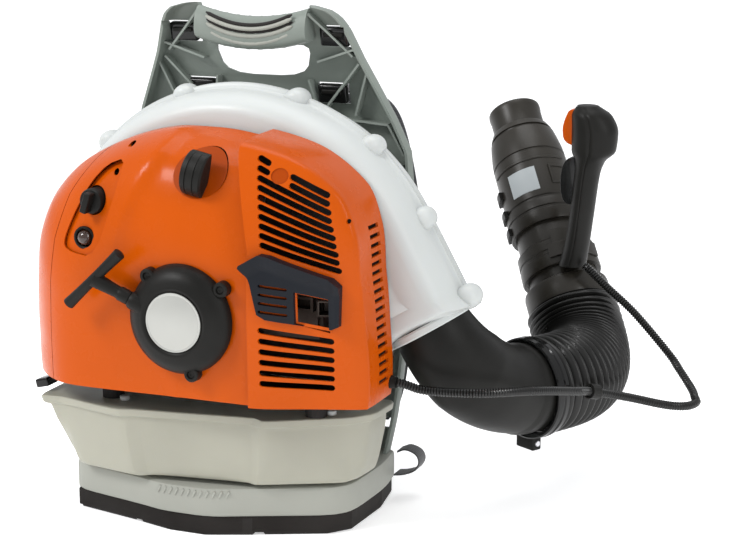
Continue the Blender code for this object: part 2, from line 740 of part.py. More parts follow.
# --- engine covers ----------------------------------------------------------
COVER_OUTLINE = [(0, 0.180), (18, 0.190), (33, 0.211), (44, 0.240), (52, 0.256), (62, 0.259),
                 (72, 0.255), (80, 0.2520), (90, 0.2520), (99, 0.2540), (108, 0.2540),
                 (120, 0.2540), (131, 0.2495), (141, 0.237), (150, 0.220), (160, 0.206),
                 (170, 0.197), (180, 0.193)]
DEPTH_RIGHT = [(0.0, -0.137), (0.30, -0.137), (0.48, -0.135), (0.70, -0.116), (0.91, -0.096),
               (0.985, -0.074), (1.0, COVER_BACK)]
DEPTH_TOP = [(0.0, -0.138), (0.30, -0.141), (0.58, -0.142), (0.78, -0.134), (0.91, -0.116),
             (0.98, -0.082), (1.0, COVER_BACK)]
DEPTH_LEFT = [(0.0, -0.137), (0.30, -0.138), (0.60, -0.137), (0.76, -0.124), (0.90, -0.098),
              (0.98, -0.070), (1.0, COVER_BACK)]
SEAM_LEFT = [(-0.1445, 0.140), (-0.1445, 0.190), (-0.1425, 0.249), (-0.138, 0.292),
             (-0.126, 0.335), (-0.106, 0.372), (-0.082, 0.400), (-0.072, 0.430)]
SEAM_RIGHT = [(0.080, 0.140), (0.081, 0.300), (0.071, 0.360), (0.060, 0.430)]


def cover_point(angle, ring, proud=0.0):
    """Point of the covers' skin: an angle about the lower middle, and a depth ring."""
    turn = math.radians(angle)
    lean = abs(math.cos(turn)) ** 1.5
    side = DEPTH_RIGHT if angle < 90 else DEPTH_LEFT
    share = side[ring][0] * lean + DEPTH_TOP[ring][0] * (1 - lean)
    depth = side[ring][1] * lean + DEPTH_TOP[ring][1] * (1 - lean)
    reach = blend_keys(COVER_OUTLINE, angle) * share + (proud if share > 0.2 else 0.0)
    out = proud if ring < 6 else 0.0
    return Vector((reach * math.cos(turn), depth - out, COVER_FLOOR + reach * math.sin(turn)))


def cover_skin(name, proud=0.0):
    bm = bmesh.new()
    hub = bm.verts.new(cover_point(90, 0, proud))
    rows = []
    for i in range(25):
        angle = 7.5 * i
        rows.append([bm.verts.new(cover_point(angle, k, proud)) for k in range(1, 7)])
    for first, second in zip(rows, rows[1:]):
        bm.faces.new((hub, second[0], first[0]))
        for k in range(5):
            bm.faces.new((first[k], second[k], second[k + 1], first[k + 1]))
    skin = from_bmesh(name, bm, "orange")
    wall = skin.modifiers.new("wall", "SOLIDIFY")
    wall.thickness = COVER_WALL
    wall.offset = -1.0
    return skin


def front_cover():
    cover = cover_skin("front_cover")

    def region(bm):
        left = [(x + GAP, z) for x, z in SEAM_LEFT]
        right = [(x - GAP, z) for x, z in reversed(SEAM_RIGHT)]
        add_prism(bm, left + right, -0.2, 0.0)

    def openings(bm):
        add_rod(bm, (CRANK_X, -0.2, CRANK_Z), (CRANK_X, -0.1, CRANK_Z), 0.048, 32)
        add_rod(bm, (KNOB.x, -0.2, KNOB.z), (KNOB.x, -0.06, KNOB.z), 0.020, 20)
        add_rod(bm, (CHOKE.x, -0.2, CHOKE.z), (CHOKE.x, -0.06, CHOKE.z), 0.0135, 16)
        add_rod(bm, (PRIMER.x, -0.2, PRIMER.z), (PRIMER.x, -0.06, PRIMER.z), 0.0095, 16)
    keep(cover, region)
    cut(cover, openings)
    return cover


def side_cover():
    cover = cover_skin("side_cover")

    def region(bm):
        seam = [(x - GAP, z) for x, z in SEAM_LEFT]
        add_prism(bm, seam + [(-0.25, 0.430), (-0.25, 0.140)], -0.2, 0.0)
    return keep(cover, region)


def slot_rows():
    """Front cooling slots: (left x, left z, right x, right z)."""
    rows = []
    for i in range(6):
        rows.append((0.095, 0.173 + 0.0113 * i, 0.155))
    for i in range(10):
        rows.append((0.095 - 0.0008 * i, 0.303 + 0.0083 * i, 0.152 - 0.0008 * i))
    return [(xl, z, xr, z - (0.06 + 2.05 * (z - 0.173)) * (xr - xl)) for xl, z, xr in rows]


def engine_shroud():
    cover = cover_skin("engine_shroud", 0.004)

    def region(bm):
        seam = [(x + GAP, z) for x, z in SEAM_RIGHT]
        add_prism(bm, seam + [(0.25, 0.430), (0.25, 0.140)], -0.2, 0.0)

    def slots(bm):
        for xl, zl, xr, zr in slot_rows():
            half = 0.0024
            add_prism(bm, [(xl, zl - half), (xr, zr - half), (xr, zr + half), (xl, zl + half)],
                      -0.2, -0.075)
        for i in range(16):
            z = 0.168 + 0.0093 * i
            add_box(bm, (0.195, -0.072, z), (0.06, 0.024, 0.0045))
        add_prism(bm, [(0.126, 0.232), (0.156, 0.223), (0.156, 0.258), (0.126, 0.266)],
                  -0.2, -0.075)
    keep(cover, region)
    cut(cover, slots, "slots")
    return cover


GUARD_TURN = math.radians(20)


def exhaust_guard():
    """Hooded guard round the exhaust outlet, on the shroud's slanted face."""
    corner = Vector((0.0820, -0.1500, 0.0))
    along_face = Vector((math.cos(GUARD_TURN), math.sin(GUARD_TURN), 0))
    out = Vector((math.sin(GUARD_TURN), -math.cos(GUARD_TURN), 0))

    def slab(bm, outline, low, high):
        near = [bm.verts.new(corner + along_face * u + out * low + Z_AXIS * z) for u, z in outline]
        far = [bm.verts.new(corner + along_face * u + out * high + Z_AXIS * z) for u, z in outline]
        bm.faces.new(near)
        bm.faces.new(far)
        for i in range(len(outline)):
            j = (i + 1) % len(outline)
            bm.faces.new((near[i], near[j], far[j], far[i]))

    bm = bmesh.new()
    slab(bm, [(-0.006, 0.288), (0.012, 0.298), (0.092, 0.272), (0.092, 0.226), (0.008, 0.235),
              (0.004, 0.272)], 0.004, 0.009)
    guard = from_bmesh("exhaust_guard", bm, "charcoal")

    def hood(bm):
        slab(bm, [(-0.0055, 0.2875), (0.012, 0.2970), (0.0915, 0.2712), (0.0915, 0.262),
                  (0.004, 0.276)], 0.006, 0.019)

    def windows(bm):
        slab(bm, [(0.047, 0.234), (0.080, 0.230), (0.080, 0.258), (0.047, 0.263)], -0.02, 0.05)
        for i in range(4):
            z = 0.243 + 0.0085 * i
            slab(bm, [(0.013, z), (0.041, z - 0.0025), (0.041, z + 0.0015), (0.013, z + 0.004)],
                 -0.02, 0.05)
    join(guard, hood, "hood")
    cut(guard, windows, "windows")
    return guard


def bottom_pan():
    """Pan that closes the underside of the engine bay."""
    outline = [(-0.140, -0.110), (-0.112, -0.124), (0.070, -0.120), (0.150, -0.090), (0.166, -0.070),
               (0.166, -0.051), (-0.176, -0.051), (-0.174, -0.070)]
    return outline_solid("bottom_pan", outline, 0.004, Matrix.Translation((0, 0, 0.1518)), "black")


# --- controls on the covers -------------------------------------------------
KNOB = Vector((0.022, -0.134, 0.366))
CHOKE = Vector((-0.0915, -0.132, 0.333))
PRIMER = Vector((-0.099, -0.134, 0.297))


def cover_knob():
    """Twist knob that locks the filter cover: a bar on a round foot."""
    knob = turned("cover_knob", [(0, -0.004), (0.0185, -0.004), (0.0185, -0.010), (0.007, -0.010),
                                 (0.007, -0.042), (0, -0.042)],
                  (KNOB.x, KNOB.y + 0.004, KNOB.z), -Y_AXIS, "black", 24)

    def bar(bm):
        rows = []
        for i in range(9):
            a = math.pi * i / 8
            z = KNOB.z + 0.0170 * math.cos(a)
            y = KNOB.y + 0.006 - 0.017 * math.sin(a)
            ring = [(-0.0065, y), (0.0065, y), (0.0065, KNOB.y + 0.0085), (-0.0065, KNOB.y + 0.0085)]
            rows.append([bm.verts.new((KNOB.x + x, yy, z)) for x, yy in ring])
        for first, second in zip(rows, rows[1:]):
            for i in range(4):
                j = (i + 1) % 4
                bm.faces.new((first[i], first[j], second[j], second[i]))
        bm.faces.new(rows[0])
        bm.faces.new(rows[-1])
    join(knob, bar, "bar")
    return knob


def choke_knob():
    knob = turned("choke_knob", [(0, 0.006), (0.0115, 0.006), (0.0125, 0.004), (0.0125, -0.010),
                                 (0.004, -0.010), (0.004, -0.022), (0, -0.022)],
                  (CHOKE.x, CHOKE.y + 0.005, CHOKE.z), -Y_AXIS, "black", 20)

    def wing(bm):
        add_box(bm, (CHOKE.x, CHOKE.y - 0.006, CHOKE.z), (0.007, 0.014, 0.021))
    join(knob, wing, "wing")
    return knob


def primer_bulb():
    turned("primer_bulb", [(0, 0.009), (0.004, 0.0085), (0.007, 0.006), (0.0085, 0.001),
                           (0.0085, -0.006), (0, -0.006)],
           (PRIMER.x, PRIMER.y + 0.004, PRIMER.z), -Y_AXIS, "smoke", 20)


# --- recoil starter ---------------------------------------------------------
STARTER_Y = -0.1425               # rear face of the starter cover


def starter_cover():
    place = (CRANK_X, STARTER_Y, CRANK_Z)
    cover = turned("starter_cover",
                   [(0, 0.0165), (0.030, 0.0165), (0.033, 0.018), (0.044, 0.014), (0.0525, 0.006),
                    (0.0540, 0.0), (0.0515, 0.0), (0.0500, 0.005), (0.042, 0.0115),
                    (0.033, 0.0140), (0, 0.0140)], place, -Y_AXIS, "black", 28)

    def ears(bm):
        for angle, reach in ((127.6, 0.0515), (36.4, 0.057), (-75.4, 0.0535)):
            turn = math.radians(angle)
            x = CRANK_X + reach * math.cos(turn)
            z = CRANK_Z + reach * math.sin(turn)
            add_rod(bm, (x, STARTER_Y, z), (x, STARTER_Y - 0.010, z), 0.0075, 14)
        guide = ROPE_EXIT - ROPE_AXIS * 0.020
        add_rod(bm, guide, ROPE_EXIT, 0.0105, 16, 0.0085)

    def rope_hole(bm):
        add_rod(bm, ROPE_EXIT - ROPE_AXIS * 0.030, ROPE_EXIT + ROPE_AXIS * 0.01, 0.0042, 12)

    def room(bm):
        add_rod(bm, (CRANK_X, STARTER_Y + 0.02, CRANK_Z), (CRANK_X, STARTER_Y - 0.005, CRANK_Z),
                0.0495, 32)
    join(cover, ears, "ears")
    cut(cover, room, "room")
    cut(cover, rope_hole, "hole")
    return cover


ROPE_EXIT = Vector((-0.0385, -0.1530, 0.2455))
GRIP_MIDDLE = Vector((-0.0735, -0.1610, 0.2640))
ROPE_AXIS = (GRIP_MIDDLE - ROPE_EXIT).normalized()


def badge_disc():
    turned("starter_badge", [(0, 0.0010), (0.0285, 0.0010), (0.0290, 0.0), (0, 0.0)],
           (CRANK_X, STARTER_Y - 0.0165 - GAP, CRANK_Z), -Y_AXIS, "badge", 24)


def starter_pulley():
    turned("starter_pulley", [(0, 0.004), (0.040, 0.004), (0.040, 0.0028), (0.034, 0.0008),
                              (0.034, -0.0008), (0.040, -0.0028), (0.040, -0.004), (0, -0.004)],
           (CRANK_X, STARTER_Y + 0.001, CRANK_Z), -Y_AXIS, "black", 28)


def recoil_spring():
    """Flat spiral spring in front of the pulley."""
    inner = []
    outer = []
    turns = 3.2
    count = 44
    for i in range(count + 1):
        a = 2 * math.pi * turns * i / count
        r = 0.008 + 0.0062 * a / (2 * math.pi)
        inner.append((r * math.cos(a), r * math.sin(a)))
        outer.append(((r + 0.0012) * math.cos(a), (r + 0.0012) * math.sin(a)))
    place = frame_at((CRANK_X, STARTER_Y - 0.0085, CRANK_Z), -Y_AXIS)
    return outline_solid("recoil_spring", inner + outer[::-1], 0.006, place, "steel")


def starter_rope():
    start = ROPE_EXIT - ROPE_AXIS * 0.018
    end = GRIP_MIDDLE - ROPE_AXIS * 0.0150
    pipe("starter_rope", [start.lerp(end, i / 6) for i in range(7)], 0.0018, "rope", 2)


def starter_grip():
    """T grip: a slanted bar on a tapered stem."""
    bar = Vector((0.061, 0.0, 0.057)).normalized()
    grip = pipe("starter_grip", [GRIP_MIDDLE + bar * s for s in (-0.041, -0.037, 0.037, 0.041)],
                0.0066, "black", 3, as_mesh=True)

    def stem(bm):
        add_rod(bm, GRIP_MIDDLE, GRIP_MIDDLE - ROPE_AXIS * 0.0265, 0.0060, 14, 0.0048)

    def bore(bm):
        add_rod(bm, GRIP_MIDDLE - ROPE_AXIS * 0.0135, GRIP_MIDDLE - ROPE_AXIS * 0.04, 0.0024, 10)
    join(grip, stem, "stem")
    cut(grip, bore, "bore")
    return grip


# --- engine -----------------------------------------------------------------
def crankcase():
    case = turned("crankcase", [(0.047, 0.026), (0.049, 0.024), (0.049, -0.024), (0.047, -0.026),
                                (0.0065, -0.026), (0.0065, -0.022), (0.0385, -0.022),
                                (0.0385, 0.022), (0.0065, 0.022), (0.0065, 0.026)],
                  (CRANK_X, -0.084, CRANK_Z), Y_AXIS, "alloy", 22, closed=True)

    def mouth(bm):
        add_rod(bm, (CRANK_X, -0.084, CRANK_Z + 0.02), (CRANK_X, -0.084, CRANK_Z + 0.06), 0.0262, 24)

    def feet(bm):
        add_box(bm, (CRANK_X, -0.084, 0.168), (0.070, 0.030, 0.028))
    join(case, feet, "foot")
    cut(case, mouth, "mouth")
    return case


def cylinder():
    """Finned cylinder: the fins run round the barrel."""
    return turned("cylinder", cylinder_profile(), (CRANK_X, -0.084, CRANK_Z), Z_AXIS, "alloy", 18)


def cylinder_profile():
    barrel = 0.0305
    profile = [(0, 0.112), (barrel, 0.112)]
    for i in range(6):
        top = 0.0995 - 0.0085 * i
        profile += [(barrel, top), (0.0368, top - 0.0004), (0.0368, top - 0.0022),
                    (barrel, top - 0.0026)]
    profile += [(barrel, 0.0493), (CYLINDER_BORE + GAP, 0.0493), (CYLINDER_BORE + GAP, 0.098),
                (0, 0.098)]
    return profile


def valve_cover():
    box("valve_cover", (CRANK_X, -0.084, CRANK_Z + 0.1212), (0.062, 0.044, 0.018), "black", 0.003)


def crank_web(name, y, outward):
    """Half of the crankshaft: a counterweighted web on its journal."""
    outline = []
    for i in range(13):
        a = math.radians(180 + 15 * i)
        outline.append((WEB_RADIUS * math.cos(a), WEB_RADIUS * math.sin(a)))
    outline += [(0.012, 0.022), (-0.012, 0.022)]
    web = web_prism(name, outline, y)

    def journal(bm):
        add_rod(bm, (CRANK_X, y, CRANK_Z), (CRANK_X, outward, CRANK_Z), 0.006, 16)
    join(web, journal, "journal")
    return web


def web_prism(name, outline, y):
    bm = bmesh.new()
    add_prism(bm, [(CRANK_X + x, CRANK_Z + z) for x, z in outline], y - 0.004, y + 0.004)
    return from_bmesh(name, bm, "steel")


def crankshaft():
    crank_web("crankshaft_front", -0.0955, -0.1365)
    crank_web("crankshaft_rear", -0.0725, -0.0250)
    rod("crankpin", (CRANK_X, -0.0912, CRANK_Z + STROKE_HALF),
        (CRANK_X, -0.0768, CRANK_Z + STROKE_HALF), 0.0055, "steel", 18)


def piston_group():
    pin_z = CRANK_Z + STROKE_HALF + 0.048
    piston = turned("piston", [(0, 0.014), (CYLINDER_BORE - GAP, 0.014), (CYLINDER_BORE - GAP, -0.0095),
                               (0.021, -0.0095), (0.021, 0.008), (0, 0.008)],
                    (CRANK_X, -0.084, pin_z), Z_AXIS, "alloy", 28)

    def bores(bm):
        add_rod(bm, (CRANK_X, -0.12, pin_z), (CRANK_X, -0.05, pin_z), 0.0053, 16)
    cut(piston, bores)
    rod("wrist_pin", (CRANK_X, -0.1045, pin_z), (CRANK_X, -0.0635, pin_z), 0.0050, "steel", 16)
    big = CRANK_Z + STROKE_HALF
    bm = bmesh.new()
    add_box(bm, (CRANK_X, -0.084, (big + pin_z) / 2), (0.009, 0.007, pin_z - big - 0.012))
    conrod = from_bmesh("connecting_rod", bm, "steel")

    def eyes(bm):
        add_rod(bm, (CRANK_X, -0.090, big), (CRANK_X, -0.078, big), 0.0100, 20)
        add_rod(bm, (CRANK_X, -0.090, pin_z), (CRANK_X, -0.078, pin_z), 0.0078, 18)

    def holes(bm):
        add_rod(bm, (CRANK_X, -0.11, big), (CRANK_X, -0.06, big), 0.0058, 18)
        add_rod(bm, (CRANK_X, -0.11, pin_z), (CRANK_X, -0.06, pin_z), 0.0053, 16)
    join(conrod, eyes, "eyes")
    cut(conrod, holes, "holes")


def flywheel():
    turned("flywheel", [(0.0062, 0.0035), (0.036, 0.0035), (0.038, 0.0015), (0.038, -0.0035),
                        (0.0062, -0.0035)], (CRANK_X, -0.0533, CRANK_Z), Y_AXIS, "alloy", 28,
           closed=True)


def ignition():
    turned("spark_plug", [(0, 0.030), (0.0035, 0.030), (0.0045, 0.014), (0.0085, 0.012),
                          (0.0085, 0.004), (0.006, 0.003), (0.006, 0.0), (0, 0.0)],
           (CRANK_X + 0.0313, -0.084, CRANK_Z + 0.1095), X_AXIS, "steel", 16)


def intake():
    box("carburettor", (-0.083, -0.088, 0.300), (0.034, 0.036, 0.036), "alloy", 0.003)
    rod("intake_manifold", (-0.0657, -0.088, 0.300), (-0.0275, -0.088, 0.300), 0.013, "rubber", 18)
    box("air_filter", (-0.0660, -0.080, 0.3400), (0.046, 0.036, 0.0340), "foam", 0.004)


def muffler():
    body = box("muffler", (0.107, -0.082, 0.240), (0.066, 0.048, 0.060), "alloy", 0.004)

    def pipe_out(bm):
        add_box(bm, (0.1245, -0.1075, 0.2465), (0.020, 0.013, 0.014))

    def bore(bm):
        add_box(bm, (0.1245, -0.1125, 0.2465), (0.015, 0.015, 0.009))

    def port(bm):
        add_rod(bm, (0.0485, -0.084, 0.2790), (0.0820, -0.084, 0.2650), 0.0080, 14)
    join(body, pipe_out, "outlet")
    cut(body, bore, "bore")
    join(body, port, "port")


# --- harness ----------------------------------------------------------------
def back_pad():
    """Padded cushion between the carrier and the operator's back."""
    rings = []
    for z, half, thick in ((0.100, 0.085, 0.012), (0.115, 0.105, 0.020), (0.15, 0.110, 0.024),
                           (0.22, 0.115, 0.024), (0.30, 0.113, 0.024), (0.364, 0.108, 0.022),
                           (0.39, 0.095, 0.018), (0.398, 0.075, 0.010)):
        y = blend_keys(PLATE_BACK, z) + 0.002
        ring = [(half, y), (half - 0.004, y + thick), (-half + 0.004, y + thick), (-half, y)]
        rings.append([Vector((x, yy, z)) for x, yy in ring])
    loft("back_pad", rings, "fabric")


def strap_path(side):
    """Middle line of a shoulder strap, from the plate's lower slot to its foot."""
    knots = [(0.075, 0.0925, 0.4220), (0.077, 0.112, 0.4265), (0.081, 0.146, 0.415),
             (0.088, 0.171, 0.375), (0.097, 0.183, 0.315), (0.106, 0.182, 0.245),
             (0.113, 0.171, 0.175), (0.117, 0.150, 0.115), (0.118, 0.122, 0.083),
             (0.118, 0.0925, 0.0755)]
    return smooth_route([(side * x, y, z) for x, y, z in knots], 0.016)


def strap(name, side):
    path = strap_path(side)
    count = len(path)
    rings = []
    for i, place in enumerate(path):
        ahead = path[min(i + 1, count - 1)] - path[max(i - 1, 0)]
        normal = X_AXIS.cross(ahead).normalized()
        share = i / (count - 1)
        padded = 0.14 < share < 0.62
        half = 0.030 if padded else 0.0140
        thick = 0.0055 if padded else 0.0014
        rings.append([place + X_AXIS * half + normal * thick, place - X_AXIS * half + normal * thick,
                      place - X_AXIS * half - normal * thick, place + X_AXIS * half - normal * thick])
    loft(name, rings, "fabric")


def webbing_loops():
    """Free ends of the lower webbing: a loop at the right and a buckle at the left."""
    right = [(0.1560, 0.062, 0.0540), (0.1640, 0.066, 0.0560), (0.1730, 0.072, 0.0500),
             (0.1750, 0.076, 0.0400), (0.1700, 0.076, 0.0310), (0.1600, 0.072, 0.0270),
             (0.1510, 0.066, 0.0270)]
    path = smooth_route(right, 0.005)
    rings = []
    for i, place in enumerate(path):
        ahead = path[min(i + 1, len(path) - 1)] - path[max(i - 1, 0)]
        normal = Y_AXIS.cross(ahead).normalized() * 0.0011
        wide = Y_AXIS * 0.010
        rings.append([place + wide + normal, place - wide + normal, place - wide - normal,
                      place + wide - normal])
    loft("webbing_loop", rings, "fabric")


def build():
    clear_scene()
    back_plate()
    soles()
    fuel_tank()
    fuel_cap()
    isolators()
    housing_half("fan_housing_front", -1, 0.044)
    housing_half("fan_housing_rear", 1, 0.070)
    impeller()
    inlet_screen()
    elbow()
    ring_clamp()
    pleated_hose()
    blower_tube()
    tube_sleeve()
    handle_collar()
    control_handle()
    setting_lever()
    throttle_trigger()
    throttle_cable()
    cable_clip()
    front_cover()
    side_cover()
    engine_shroud()
    exhaust_guard()
    bottom_pan()
    cover_knob()
    choke_knob()
    primer_bulb()
    starter_cover()
    badge_disc()
    starter_pulley()
    recoil_spring()
    starter_rope()
    starter_grip()
    crankcase()
    cylinder()
    valve_cover()
    crankshaft()
    piston_group()
    flywheel()
    ignition()
    intake()
    muffler()
    back_pad()
    strap("shoulder_strap_left", -1)
    strap("shoulder_strap_right", 1)
    webbing_loops()


build()
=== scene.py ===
"""Looks of the backpack leaf blower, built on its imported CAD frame.  Metres, +Z up."""
import json
import math

import bmesh
import bpy
import numpy as np
from mathutils import Matrix, Vector

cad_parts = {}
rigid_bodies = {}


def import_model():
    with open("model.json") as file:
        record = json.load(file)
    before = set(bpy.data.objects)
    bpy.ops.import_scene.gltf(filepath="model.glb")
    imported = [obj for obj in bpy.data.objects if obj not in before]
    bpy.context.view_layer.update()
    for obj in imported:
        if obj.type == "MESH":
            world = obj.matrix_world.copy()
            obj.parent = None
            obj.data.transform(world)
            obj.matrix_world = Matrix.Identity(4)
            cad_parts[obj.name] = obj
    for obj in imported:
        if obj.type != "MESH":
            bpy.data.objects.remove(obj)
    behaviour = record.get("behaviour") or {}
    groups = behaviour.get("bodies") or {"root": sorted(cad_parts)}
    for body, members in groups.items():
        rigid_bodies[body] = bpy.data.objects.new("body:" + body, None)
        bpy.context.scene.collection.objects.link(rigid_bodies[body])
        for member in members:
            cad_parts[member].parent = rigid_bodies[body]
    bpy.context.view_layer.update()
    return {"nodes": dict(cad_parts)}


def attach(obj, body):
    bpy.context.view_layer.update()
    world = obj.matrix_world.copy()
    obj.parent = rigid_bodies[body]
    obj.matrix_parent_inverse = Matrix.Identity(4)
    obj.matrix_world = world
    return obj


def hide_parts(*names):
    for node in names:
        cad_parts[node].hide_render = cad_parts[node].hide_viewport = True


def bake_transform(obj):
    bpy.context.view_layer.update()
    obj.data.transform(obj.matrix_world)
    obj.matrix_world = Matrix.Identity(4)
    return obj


for thing in list(bpy.data.objects):
    bpy.data.objects.remove(thing, do_unlink=True)
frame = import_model()
NODES = frame["nodes"]
SCENE = bpy.context.scene
X_AXIS = Vector((1, 0, 0))
Y_AXIS = Vector((0, 1, 0))
Z_AXIS = Vector((0, 0, 1))
WELD = 0.000002


def mm(*rows):
    """Rows of lengths written in millimetres, as metres."""
    return [tuple(round(v / 1000, 7) for v in row) for row in rows]


# --- camera and light ---
def camera():
    data = bpy.data.cameras.new("view")
    data.lens = 90.98
    data.sensor_width = 36.0
    view = bpy.data.objects.new("view", data)
    SCENE.collection.objects.link(view)
    view.location = (0.8158, -1.665, 0.6536)
    view.rotation_euler = Vector((-0.366, 0.905, -0.218)).to_track_quat("-Z", "Y").to_euler()
    SCENE.camera = view


def lamp(name, place, target, size, power):
    data = bpy.data.lights.new(name, "AREA")
    data.shape = "RECTANGLE"
    data.size, data.size_y = size
    data.energy = power
    light = bpy.data.objects.new(name, data)
    SCENE.collection.objects.link(light)
    light.location = place
    aim = Vector(target) - Vector(place)
    light.rotation_euler = aim.to_track_quat("-Z", "Y").to_euler()


def studio():
    world = bpy.data.worlds.new("studio")
    world.use_nodes = True
    wired(world.node_tree, world.node_tree.nodes["Background"],
          {"Color": (0.97, 0.98, 1.0, 1.0), "Strength": 0.82})
    SCENE.world = world
    SCENE.view_settings.view_transform = "Standard"
    lamp("key", (-1.2, -1.5, 1.9), (0, 0, 0.25), (0.7, 0.7), 38)
    lamp("side", (1.9, -0.7, 1.2), (0.1, 0, 0.2), (0.4, 1.5), 12)
    lamp("top", (0.1, 0.3, 2.1), (0.1, 0, 0.2), (1.2, 1.2), 13)
    bpy.ops.mesh.primitive_plane_add(size=60, location=(0, 2, 0))
    floor = bpy.context.object
    floor.name = "floor"
    white = finish("floor_white", (0.97, 0.97, 0.97), 0.8, vary=0.002, grain=0.0)
    wired(white.node_tree, white.node_tree.nodes["Principled BSDF"],
          {"Emission Color": (1, 1, 1, 1), "Emission Strength": 0.42})
    floor.data.materials.append(white)


# --- materials ---
def wired(tree, node, sockets):
    """A shader node with each socket set to a value or linked to an output."""
    if isinstance(node, str):
        node = tree.nodes.new(node)
    for name, value in sockets.items():
        if isinstance(value, bpy.types.NodeSocket):
            tree.links.new(value, node.inputs[name])
        else:
            node.inputs[name].default_value = value
    return node


def noise(tree, coord, scale, detail=3.0):
    return wired(tree, "ShaderNodeTexNoise", {"Scale": scale, "Detail": detail,
                                              "Vector": coord.outputs["Object"]}).outputs["Fac"]


def ranged(tree, value, low, high, low_in=0.3, high_in=0.7):
    return wired(tree, "ShaderNodeMapRange", {"From Min": low_in, "From Max": high_in, "To Min": low,
                                              "To Max": high, "Value": value}).outputs["Result"]


def mixed(tree, amount, first, second):
    node = tree.nodes.new("ShaderNodeMix")
    node.data_type = "RGBA"
    first, second = ((*v, 1.0) if isinstance(v, tuple) else v for v in (first, second))
    return wired(tree, node, {"Factor": amount, 6: first, 7: second}).outputs[2]


def worked(tree, operation, *values):
    node = tree.nodes.new("ShaderNodeMath")
    node.operation = operation
    return wired(tree, node, dict(enumerate(values))).outputs[0]


def bumped(tree, shader, height, strength, distance):
    node = wired(tree, "ShaderNodeBump", {"Strength": strength, "Distance": distance, "Height": height})
    tree.links.new(node.outputs["Normal"], shader.inputs["Normal"])


def blank(name):
    """New material, with its tree, its shader and a coordinate node."""
    mat = bpy.data.materials.new(name)
    mat.use_nodes = True
    tree = mat.node_tree
    return mat, tree, tree.nodes["Principled BSDF"], tree.nodes.new("ShaderNodeTexCoord")


def finish(name, colour, rough, *, vary, grain, metal=0.0, size=0.0011, coat=0.0, edge=0.0,
           depth=0.0, clear=0.0, gleam=0.28):
    """Moulded or cast surface: broad tint, fine grain, uneven roughness, sharp edges lighter."""
    mat, tree, shader, coord = blank(name)
    light = tuple(min(1.0, c * (1 + vary) + vary * 0.02) for c in colour)
    dark = tuple(c * (1 - vary) for c in colour)
    tint = mixed(tree, ranged(tree, noise(tree, coord, 11.0), 0.0, 1.0), dark, light)
    if edge:
        geometry = tree.nodes.new("ShaderNodeNewGeometry")
        # Sharp convex edges are painted lighter.
        edge_lift = ranged(tree, geometry.outputs["Pointiness"], 0.0, edge, 0.54, 0.62)
        tint = mixed(tree, edge_lift, tint, tuple(min(1.0, c * 1.5 + 0.1) for c in colour))
    smear = ranged(tree, noise(tree, coord, 38.0, 5.0), max(0.03, rough - 0.05), min(1.0, rough + 0.07))
    sockets = {"Base Color": tint, "Roughness": smear, "Metallic": metal}
    if not metal:
        sockets["Specular IOR Level"] = gleam
    if coat:
        sockets |= {"Coat Weight": coat, "Coat Roughness": 0.08}
    if depth:
        sockets |= {"Subsurface Weight": depth, "Subsurface Radius": (0.01, 0.009, 0.006)}
    if clear:
        sockets["Transmission Weight"] = clear
    wired(tree, shader, sockets)
    if grain:
        bumped(tree, shader, noise(tree, coord, 1.0 / size, 2.0), grain, 0.0003)
    return mat


def woven(name, colour, pitch, strength, across=(1, 0, 0), up=(0, 0, 1)):
    """Two crossing bands of yarn with random patches of tone and a painted highlight on the raised yarn."""
    mat, tree, shader, coord = blank(name)
    bands = []
    for axis in (across, up):
        dot = tree.nodes.new("ShaderNodeVectorMath")
        dot.operation = "DOT_PRODUCT"
        wired(tree, dot, {0: coord.outputs["Object"], 1: tuple(2 * math.pi * a / pitch for a in axis)})
        bands.append(worked(tree, "SINE", dot.outputs["Value"]))
    height = ranged(tree, worked(tree, "MULTIPLY", *bands), 0.0, 1.0, -1.0, 1.0)
    patches = noise(tree, coord, 60.0)
    base = mixed(tree, ranged(tree, patches, 0, 1), tuple(c * 0.7 for c in colour), colour)
    # Painted highlight: the colour lightens where the weave stands highest.
    tint = mixed(tree, height, base, tuple(min(1.0, c * 1.9 + 0.01) for c in colour))
    wired(tree, shader, {"Base Color": tint, "Roughness": ranged(tree, patches, 0.75, 0.95),
                         "Sheen Weight": 0.4})
    bumped(tree, shader, height, strength, 0.0004)
    return mat


ORANGE = finish("orange_gloss", (0.45, 0.066, 0.0), 0.25, vary=0.035, grain=0.05, coat=0.05, gleam=0.1)
# Darker copy of the orange plastic for the knob and screw hollows: painted shade, since the hollows are the
# same plastic as the covers.
PAINTED_SHADOW_ORANGE = finish("orange_painted_shadow", (0.3, 0.04, 0.0), 0.35, vary=0.05, grain=0.05, gleam=0.1)
WHITE = finish("housing_white", (0.48, 0.5, 0.49), 0.36, vary=0.03, grain=0.1, depth=0.1)
GREY = finish("carrier_grey", (0.185, 0.21, 0.187), 0.46, vary=0.05, grain=0.45, size=0.0009, edge=0.25)
SHELF = finish("shelf_grey", (0.288, 0.293, 0.259), 0.48, vary=0.05, grain=0.45, size=0.0009)
CREAM = finish("tank_cream", (0.318, 0.313, 0.258), 0.38, vary=0.06, grain=0.22, size=0.0016, depth=0.25)
BLACK = finish("moulded_black", (0.0075, 0.0072, 0.0062), 0.4, vary=0.2, grain=0.5, size=0.0008, gleam=0.13)
TUBE = finish("tube_black", (0.018, 0.0155, 0.0115), 0.34, vary=0.2, grain=0.3, size=0.0012)
GLOSS = finish("gloss_black", (0.004, 0.004, 0.004), 0.16, vary=0.1, grain=0.1, coat=0.3, gleam=0.15)
HOSE = finish("hose_rubber", (0.007, 0.0068, 0.006), 0.3, vary=0.2, grain=0.2, size=0.0014, coat=0.12)
CABLE = finish("conduit_black", (0.005, 0.005, 0.0045), 0.26, vary=0.15, grain=0.2, coat=0.2)
